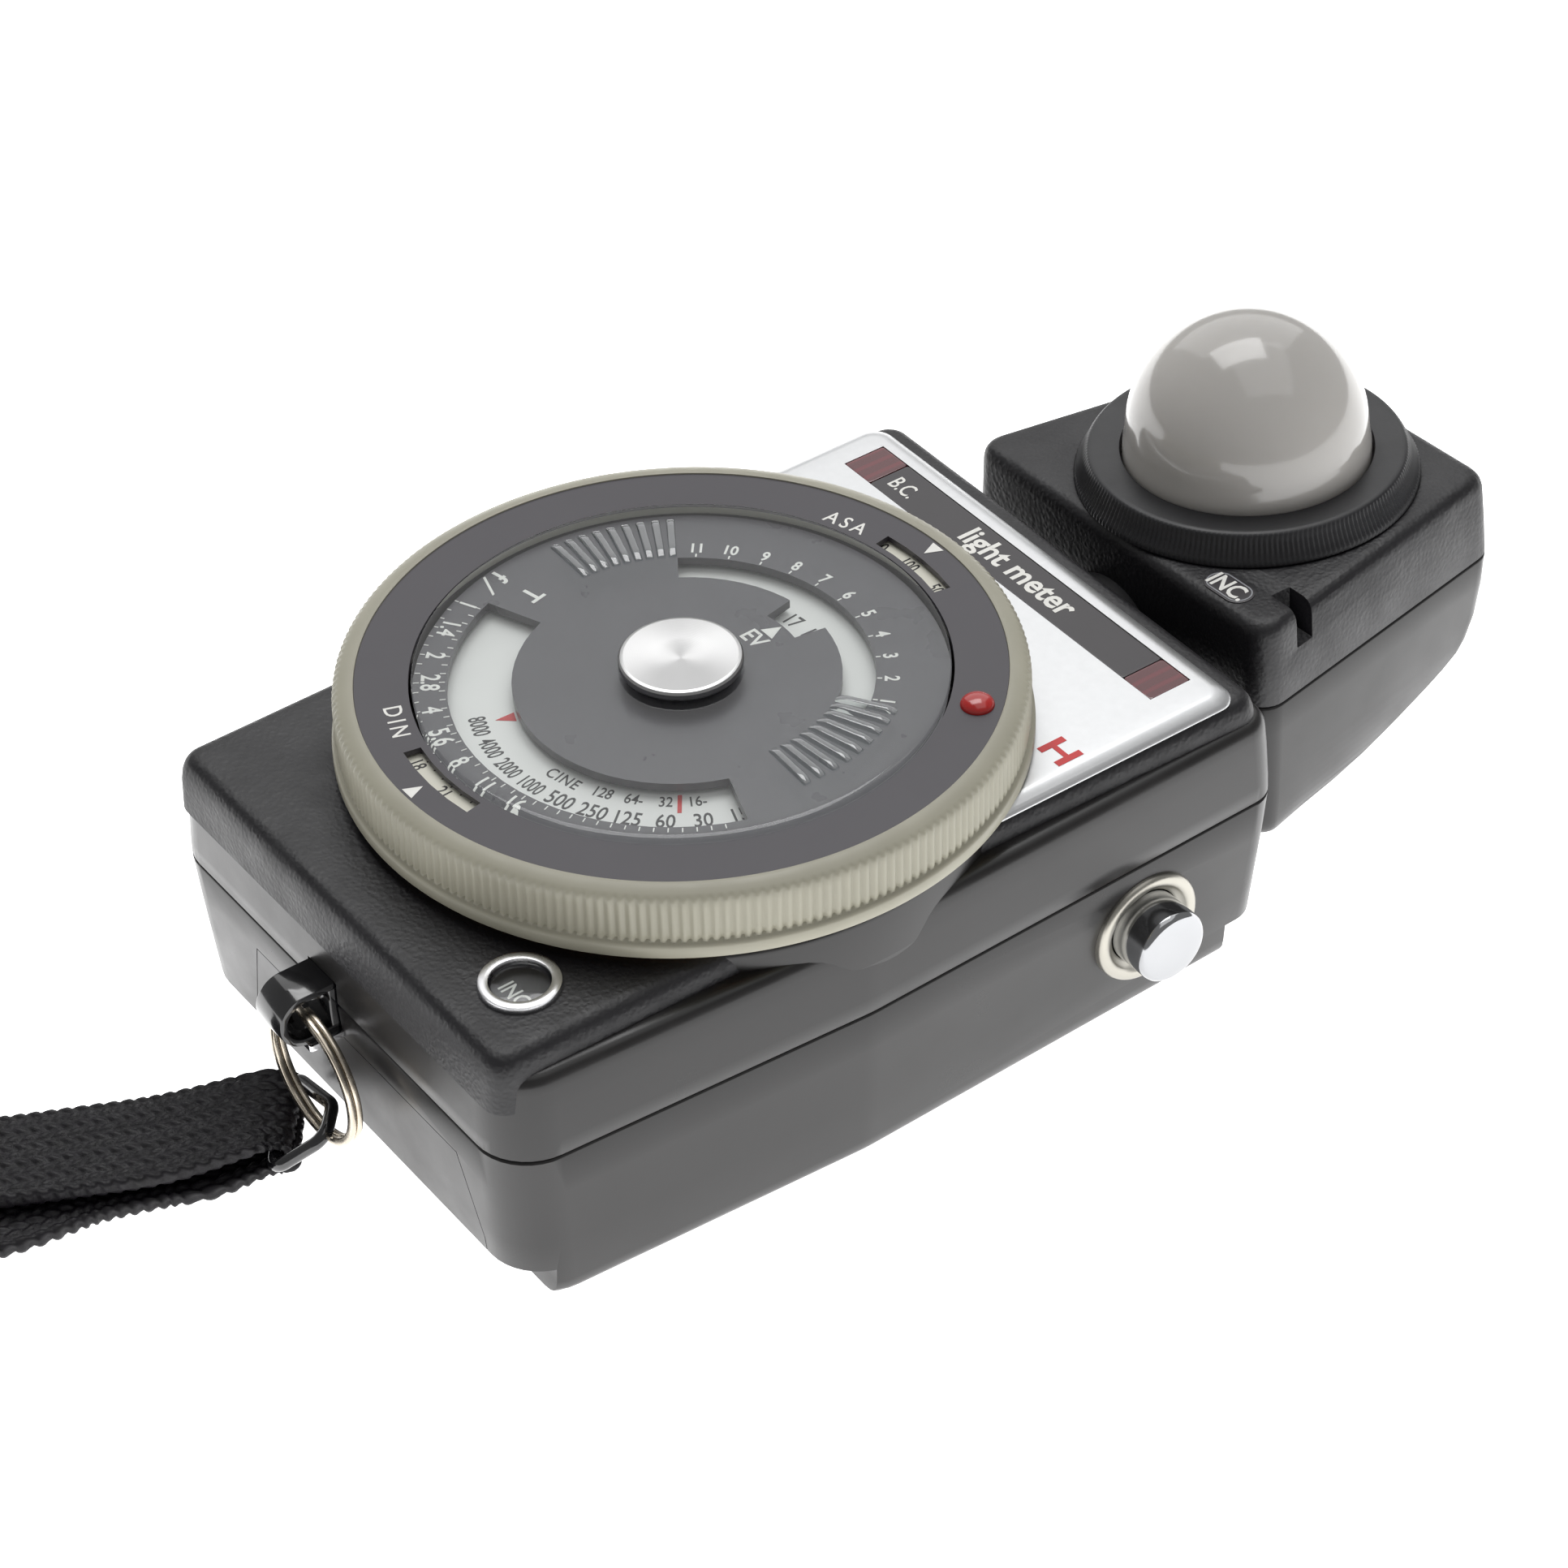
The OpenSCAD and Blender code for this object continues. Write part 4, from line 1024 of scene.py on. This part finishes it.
BADGE_X, BADGE_Y = 15.4, 58.6


def head():
    top = loft("head_top_shell_looks", [head_ring(*row) for row in HEAD_TOP_RINGS], M_GRAIN)
    boolean(top, box("notch", (19.3, 61.0, 9.2), (30, 63.4, 16), M_INSIDE))
    boolean(top, drill(12.2, 9, 15, at=DIFFUSER_AT))
    bevel(top, 0.22, 62, 2)
    put(tilt_head(top), "head", "head_top_shell", slot="head_black")

    rings = [head_ring(*row) for row in HEAD_BOTTOM_RINGS]
    bottom = loft("head_bottom_shell_looks", rings, M_SATIN)
    bevel(bottom, 0.6, 62, 3)
    put(tilt_head(bottom), "head", "head_bottom_shell", slot="head_black")

    def ribs(i, r, z):
        if 13.95 < z < 16.7 and r > 17.0:
            return r - (0.0, 0.08, 0.16, 0.08)[i % 4]
        return r

    prof = [
        (12.6, 15.1), (12.6, 13.65), (18.3, 13.65), (18.5, 13.8), (18.5, 14.3), (18.3, 14.55),
        (17.95, 15.2), (17.6, 15.9), (17.3, 16.5), (17.1, 16.8), (16.85, 16.98), (16.4, 17.02),
        (14.2, 17.0), (13.6, 16.94), (13.45, 16.7), (13.45, 15.1),
    ]
    collar = lathe("diffuser_collar_looks", prof, M_COLLAR, 800, wave=ribs, at=DIFFUSER_AT, closed=True)
    put(tilt_head(collar), "diffuser", "diffuser_collar", slot="collar_black")

    inner = DOME_R - DOME_WALL
    arc = quarter(40)
    prof = [(0, 30.9)]
    prof += [(inner * math.sin(a), DOME_Z + inner * math.cos(a)) for a in arc[1:]]
    prof += [(11.8, 15.2), (13.3, 15.2), (13.3, 17.1), (13.22, 18.0), (13.02, DOME_Z)]
    prof += [(DOME_R * math.cos(a), DOME_Z + DOME_R * math.sin(a)) for a in arc[1:]]
    dome = lathe("diffuser_dome_looks", prof, M_DOME, 160, at=DIFFUSER_AT, angle=60)
    put(tilt_head(dome), "diffuser", "diffuser_dome", slot="dome_white")

    def oval(w, h, z):
        points = rounded([(-w, -h), (w, -h), (w, h), (-w, h)], h * 0.98, 8)
        return [(BADGE_X + x, BADGE_Y + y, z) for x, y in points]

    levels = ((3.1, 1.7, 13.58), (3.1, 1.7, 13.68), (2.98, 1.58, 13.72), (2.4, 1.0, 13.72))
    badge = loft("head_badge_looks", [oval(*level) for level in levels], M_BAND)
    rim = oval(2.9, 1.5, 13.75)
    k = len(rim)
    faces = [(i, (i + 1) % k, k + (i + 1) % k, k + i) for i in range(k)]
    line = make("head_badge_line", rim + oval(2.74, 1.34, 13.75), faces, M_PRINT_G)
    badge = tilt_head(join("head_badge_looks", [badge, line]))
    put(badge, "head", "head_badge", slot="badge")


head()

# ------ strap hardware


def lug():
    """A bent strip whose eye lies along X, with its tail and its bright leaf."""
    cy, cz, r, half_t = -45.7, 19.7, 2.65, 0.42
    strip = [(-39.5, cz + r)]
    for i in range(19):
        a = math.radians(90 + 180 * i / 18)
        strip.append((cy + r * math.cos(a), cz + r * math.sin(a)))
    strip.append((-39.5, cz - r))
    out, inn = [], []
    for i, p in enumerate(strip):
        a, b = strip[max(i - 1, 0)], strip[min(i + 1, len(strip) - 1)]
        d = Vector((b[0] - a[0], b[1] - a[1])).normalized()
        out.append((p[0] + d.y * half_t, p[1] - d.x * half_t))
        inn.append((p[0] - d.y * half_t, p[1] + d.x * half_t))
    outline = out + inn[::-1]
    eye = loft("strap_lug_looks", [[(x, y, z) for y, z in outline] for x in (-4.15, 0.55)], M_ENAMEL, 30)
    bevel(eye, 0.18, 35, 2)
    tail = rounded_slab("lug_tail", -4.1, 0.5, -43.1, -39.6, 17.2, 22.2, M_ENAMEL, 0.2)
    leaf = rounded_slab("lug_leaf", -2.9, 1.25, -46.1, -42.0, 16.15, 16.85, M_CHROME, 0.4, 0.12)
    put(join("strap_lug_looks", [eye, tail, leaf]), "housing", "strap_lug", slot="black_enamel")


def split_ring():
    """Two flat coils side by side, joined by a cranked step."""
    pts, n = [], 132
    turns, radius, start = 1.92, 7.3, 2.2
    for i in range(n):
        t = 2 * math.pi * turns * i / (n - 1)
        step = min(1, max(0, (t / (2 * math.pi) - 0.86) / 0.16))
        y = RING_Y + 0.72 * (3 * step ** 2 - 2 * step ** 3)
        x, z = RING_X + radius * math.cos(t + start), RING_Z + radius * math.sin(t + start)
        pts.append(Vector((x, y, z)))
    section = rounded([(-0.45, -0.34), (0.45, -0.34), (0.45, 0.34), (-0.45, 0.34)], 0.2, 3)
    rings = []
    for i, p in enumerate(pts):
        d = (pts[min(i + 1, n - 1)] - pts[max(i - 1, 0)]).normalized()
        out = (p - Vector((RING_X, p.y, RING_Z))).normalized()
        along = d.cross(out).normalized()
        rings.append([tuple(p + out * a + along * b) for a, b in section])
    put(loft("split_ring_looks", rings, M_NICKEL, 50), "link", "split_ring", slot="split_ring")


def strap_loop():
    loop = rounded([(0, 0), (14.5, 0), (14.2, 6.8), (9.9, 7.3)], [1.5, 1.5, 1.9, 2.4], 9)
    dense = []
    for i, (x, y) in enumerate(loop):
        x2, y2 = loop[(i + 1) % len(loop)]
        m = max(1, round(math.dist((x, y), (x2, y2)) / 0.8))
        dense += [(x + (x2 - x) * k / m, y + (y2 - y) * k / m, 0) for k in range(m)]
    place = (
        Matrix.Translation(Vector((-10.5, -43.2, 3.6)) * MM)
        @ Matrix.Rotation(math.radians(-36.4), 4, "Z")
        @ Matrix.Rotation(math.radians(36), 4, "X")
    )
    ob = move(wire_loop("strap_loop_looks", dense, 0.72, M_ENAMEL), place)
    put(ob, "strap", "d_ring", slot="black_enamel")


lug()
split_ring()
strap_loop()

# ------ CAD nodes that stay, with their finish

KEEP = {
    "case_screws": M_STEEL, "lamp_board": M_BOARD, "indicator_leds": M_LED, "dial_turret": M_TURRET,
    "turret_screws": M_STEEL, "dial_face": M_DIAL, "film_speed_scale": M_PAPER, "film_speed_track": M_TRACK,
    "time_scale_disc": M_WHITE, "time_disc_hub": M_BRASS, "dial_gear": M_BRASS, "dial_bush": M_BRASS,
    "idler_gear": M_BRASS, "idler_axle": M_STEEL, "motor_pinion": M_BRASS, "drive_motor": M_STEEL,
    "drive_bracket": M_STEEL, "mask_plate": M_MASK, "dial_spindle": M_STEEL, "spindle_clip": M_STEEL,
    "mode_label": M_BAND, "button_spring": M_STEEL, "button_switch": M_TURRET, "circuit_board": M_BOARD,
    "battery": M_BATTERY, "battery_contacts": M_BRASS, "head_screws": M_STEEL, "neck_tube": M_TURRET,
    "neck_bush": M_TURRET, "neck_clip": M_STEEL, "photocell": M_CELL, "cell_filter": M_FILTER,
    "cell_holder": M_TURRET,
}
for node, mat in KEEP.items():
    ob = NODES[node]
    if not ob.material_slots:
        ob.data.materials.append(mat.m)
    for s in ob.material_slots:
        s.material = mat.m

# ------ printing

PRINT = {}
INK = 0.03  # thickness of printed marks
FONT_SCALE = 1.38  # font size over the height of capitals


def ink(body, mat, ob):
    PRINT.setdefault((body, mat.m.name), []).append(ob)


def flat(body, mat, outline, z):
    ink(body, mat, loft("ink", [[(x, y, h) for x, y in outline] for h in (z, z + INK)], mat))


def label(body, mat, text, at, z, size, turn, narrow=0.72, bold=0.0, space=1.0, head=False):
    cu = bpy.data.curves.new("ink_text", "FONT")
    cu.body = text
    cu.size = size * FONT_SCALE
    cu.align_x, cu.align_y = "CENTER", "CENTER"
    cu.space_character = space
    cu.offset = bold
    cu.extrude = 0.012
    cu.resolution_u = 3
    tmp = bpy.data.objects.new("ink_text", cu)
    SCENE.collection.objects.link(tmp)
    dg = bpy.context.evaluated_depsgraph_get()
    dg.update()
    me = bpy.data.meshes.new_from_object(tmp.evaluated_get(dg))
    bpy.data.objects.remove(tmp)
    xs = [v.co.x for v in me.vertices] or [0]
    ys = [v.co.y for v in me.vertices] or [0]
    cx, cy = (min(xs) + max(xs)) / 2, (min(ys) + max(ys)) / 2
    t = (
        Matrix.Scale(MM, 4)
        @ Matrix.Translation((at[0], at[1], z))
        @ Matrix.Rotation(math.radians(turn), 4, "Z")
        @ Matrix.Diagonal((narrow, 1, 1, 1))
        @ Matrix.Translation((-cx, -cy, 0))
    )
    me.transform(t)
    me.materials.clear()
    me.materials.append(mat.m)
    ob = bpy.data.objects.new("ink_text", me)
    SCENE.collection.objects.link(ob)
    if head:
        tilt_head(ob)
    ink(body, mat, ob)


def polar(r, a):
    return (r * math.cos(math.radians(a)), r * math.sin(math.radians(a)))


def mark(body, mat, a, z, *points):
    """A flat mark from (radius, sideways) points on the ray at angle a."""
    u, v = polar(1, a), polar(1, a + 90)
    flat(body, mat, [(u[0] * r + v[0] * w, u[1] * r + v[1] * w) for r, w in points], z)


def tick(body, mat, a, r0, r1, w, z):
    mark(body, mat, a, z, (r0, -w / 2), (r1, -w / 2), (r1, w / 2), (r0, w / 2))


def wedge(body, mat, a, r_base, r_tip, w, z):
    mark(body, mat, a, z, (r_base, -w / 2), (r_tip, 0), (r_base, w / 2))


def around(body, mat, text, r, a, size, z, inward, **kw):
    """Text on the dial at angle a, its foot towards the rim (inward) or towards the centre."""
    label(body, mat, text, polar(r, a), z, size, a + 90 if inward else a - 90, **kw)


# heights of the printed faces
FACE_Z, MASK_Z, DISC_Z, FILM_Z = 40.81, 39.31, 37.31, 39.91
CALC, TIME, FILM, BODY = "calculator_disc", "time_scale", "film_speed_dial", "housing"

# f numbers round the lower left of the mask plate
for i, t in enumerate(["1", "1.4", "2", "2.8", "4", "5.6", "8", "11", "16"]):
    around(CALC, M_PRINT_W, t, 24.8, -155 + 10 * i, 1.95, MASK_Z, True, narrow=0.78, bold=0.05)
for i in range(40):
    a = -155 + 10 * i / 3
    tick(CALC, M_PRINT_W, a, 23.35, 23.95, 0.13, MASK_Z)
    tick(CALC, M_PRINT_W, a, 25.9, 26.35, 0.13, MASK_Z)
label(CALC, M_PRINT_W, "f", polar(24.9, -167.5), MASK_Z, 2.3, -77.5, narrow=0.95, bold=0.06)
label(CALC, M_PRINT_W, "T", polar(20.4, -167.4), MASK_Z, 2.3, -77.4, narrow=0.95, bold=0.06)
slash = [polar(26.2, -165.6), polar(26.2, -164.9), polar(23.5, -160.9), polar(23.5, -161.7)]
flat(CALC, M_PRINT_W, slash, MASK_Z)

# exposure values round the upper right
for i in range(11):
    a = 140.5 - 10 * i
    around(CALC, M_PRINT_W, str(11 - i), 20.8, a, 1.5, MASK_Z, False, narrow=0.82, bold=0.05)
    tick(CALC, M_PRINT_W, a, 19.3, 19.8, 0.17, MASK_Z)
around(CALC, M_PRINT_W, "EV", 9.1, 91.5, 2.0, MASK_Z, False, narrow=0.9, bold=0.045)
wedge(CALC, M_PRINT_W, 90.6, 10.4, 12.3, 1.9, MASK_Z)

# time scale, on the white disc
times = ["8000", "4000", "2000", "1000", "500", "250", "125", "60", "30", "15", "8", "4", "2", "1"]
for i, t in enumerate(times):
    a, fine = -110.2 + 10.08 * i, i < 4
    size, narrow = (1.8, 0.6) if fine else (2.0, 0.72)
    around(TIME, M_PRINT_K, t, 20.6, a, size, DISC_Z, True, narrow=narrow, bold=0.03)
around(TIME, M_PRINT_K, "CINE", 17.9, -75.1, 1.45, DISC_Z, True, narrow=0.8, bold=0.02, space=1.15)
for i, t in enumerate(["128", "64-", "32", "16-"]):
    around(TIME, M_PRINT_K, t, 17.75, -60.4 + 10.07 * i, 1.5, DISC_Z, True, narrow=0.7, bold=0.02)
tick(TIME, M_PRINT_R, -36, 16.75, 19.4, 0.42, DISC_Z)
wedge(TIME, M_PRINT_R, -111.5, 16.9, 18.9, 1.4, DISC_Z)
for i, t in enumerate(["6", "17", "1"]):
    around(TIME, M_PRINT_K, t, 15.05, 105.3 - 9 * i, 1.9, DISC_Z, False, narrow=0.72, bold=0.03)

# film speeds seen through the two windows of the dial face
for i, t in enumerate(["3200", "1600", "800", "400", "200", "100", "50", "25", "12"]):
    around(BODY, M_PRINT_K, t, 28.5, 138.5 - 9.6 * i, 1.55, FILM_Z, False, narrow=0.7, bold=0.02)
for i in range(-12, 13):
    tick(BODY, M_PRINT_K, 90.5 - 3.2 * i, 29.7, 29.95, 0.11, FILM_Z)
for i, t in enumerate(["9", "12", "15", "18", "21", "24", "27", "30"]):
    around(BODY, M_PRINT_K, t, 28.5, -127 + 9.6 * i, 1.55, FILM_Z, True, narrow=0.74, bold=0.02)
for i in range(-12, 13):
    tick(BODY, M_PRINT_K, -88.6 + 3.2 * i, 27.35, 27.6, 0.11, FILM_Z)
around(FILM, M_PRINT_W, "ASA", 28.5, 108.5, 1.9, FACE_Z, False, narrow=0.86, bold=0.02, space=1.35)
around(FILM, M_PRINT_W, "DIN", 28.6, -110.5, 1.9, FACE_Z, True, narrow=0.9, bold=0.015, space=1.35)
wedge(FILM, M_PRINT_W, 90, 31.95, 30.1, 1.7, FACE_Z)
wedge(FILM, M_PRINT_W, -90.3, 31.95, 30.1, 1.7, FACE_Z)

# deck lettering
label(BODY, M_PRINT_W, "B.C.", (-18.4, 41.6), 33.28, 2.1, 0, narrow=0.74, bold=0.03)
label(BODY, M_PRINT_W, "light meter", (0.6, 41.6), 33.28, 2.9, 0, narrow=0.98, bold=0.09)
label(BODY, M_PRINT_R, "H", (26.0, 27.0), 33.32, 3.1, 0, narrow=1.3, bold=0.11)
label("head", M_PRINT_W, "INC.", (BADGE_X, BADGE_Y), 13.74, 2.25, 0, narrow=0.88, bold=0.07, head=True)
label(BODY, M_PRINT_W, "INC", (20.9, -34.2), 30.68, 1.7, 0, narrow=0.85, bold=0.03)

for (body, matname), obs in PRINT.items():
    put(join(f"{matname}_{body}", obs), body)

# ------ floor and light

floor = bpy.data.meshes.new("floor")
floor.from_pydata([(-3, -3, 0), (3, -3, 0), (3, 3, 0), (-3, 3, 0)], [], [(0, 1, 2, 3)])
floor_ob = bpy.data.objects.new("floor", floor)
SCENE.collection.objects.link(floor_ob)
floor_ob.location.z = -0.00005
M_FLOOR = Mat("floor_pale", (0.93, 0.93, 0.93), 0.8, 0, 0.1).vary(2, 0.01)
M_FLOOR.p.inputs["Emission Color"].default_value = (1, 1, 1, 1)
M_FLOOR.p.inputs["Emission Strength"].default_value = 1.5
floor.materials.append(M_FLOOR.m)

world = bpy.data.worlds.new("world")
SCENE.world = world
world.use_nodes = True
bg = world.node_tree.nodes["Background"]
bg.inputs["Color"].default_value = (1, 1, 1, 1)
bg.inputs["Strength"].default_value = 0.3


def softbox(name, at, towards, w, h, power):
    d = bpy.data.lights.new(name, "AREA")
    d.shape = "RECTANGLE"
    d.size, d.size_y, d.energy = w, h, power
    o = bpy.data.objects.new(name, d)
    SCENE.collection.objects.link(o)
    o.location = at
    o.rotation_mode = "QUATERNION"
    o.rotation_quaternion = (Vector(towards) - Vector(at)).to_track_quat("-Z", "Y")


softbox("softbox_key", (-0.38, 0.2, 1.0), (0, 0.04, 0.03), 0.7, 0.46, 4.2)
softbox("softbox_top", (0.1, 0.3, 1.3), (0, 0.02, 0.03), 1.3, 1.1, 3.4)
softbox("softbox_back", (-0.75, 0.55, 0.72), (0, 0.02, 0.03), 1.4, 1.0, 4.2)

SCENE.view_settings.view_transform = "Standard"
SCENE.view_settings.look = "None"
SCENE.view_settings.exposure = 0
SCENE.view_settings.gamma = 1
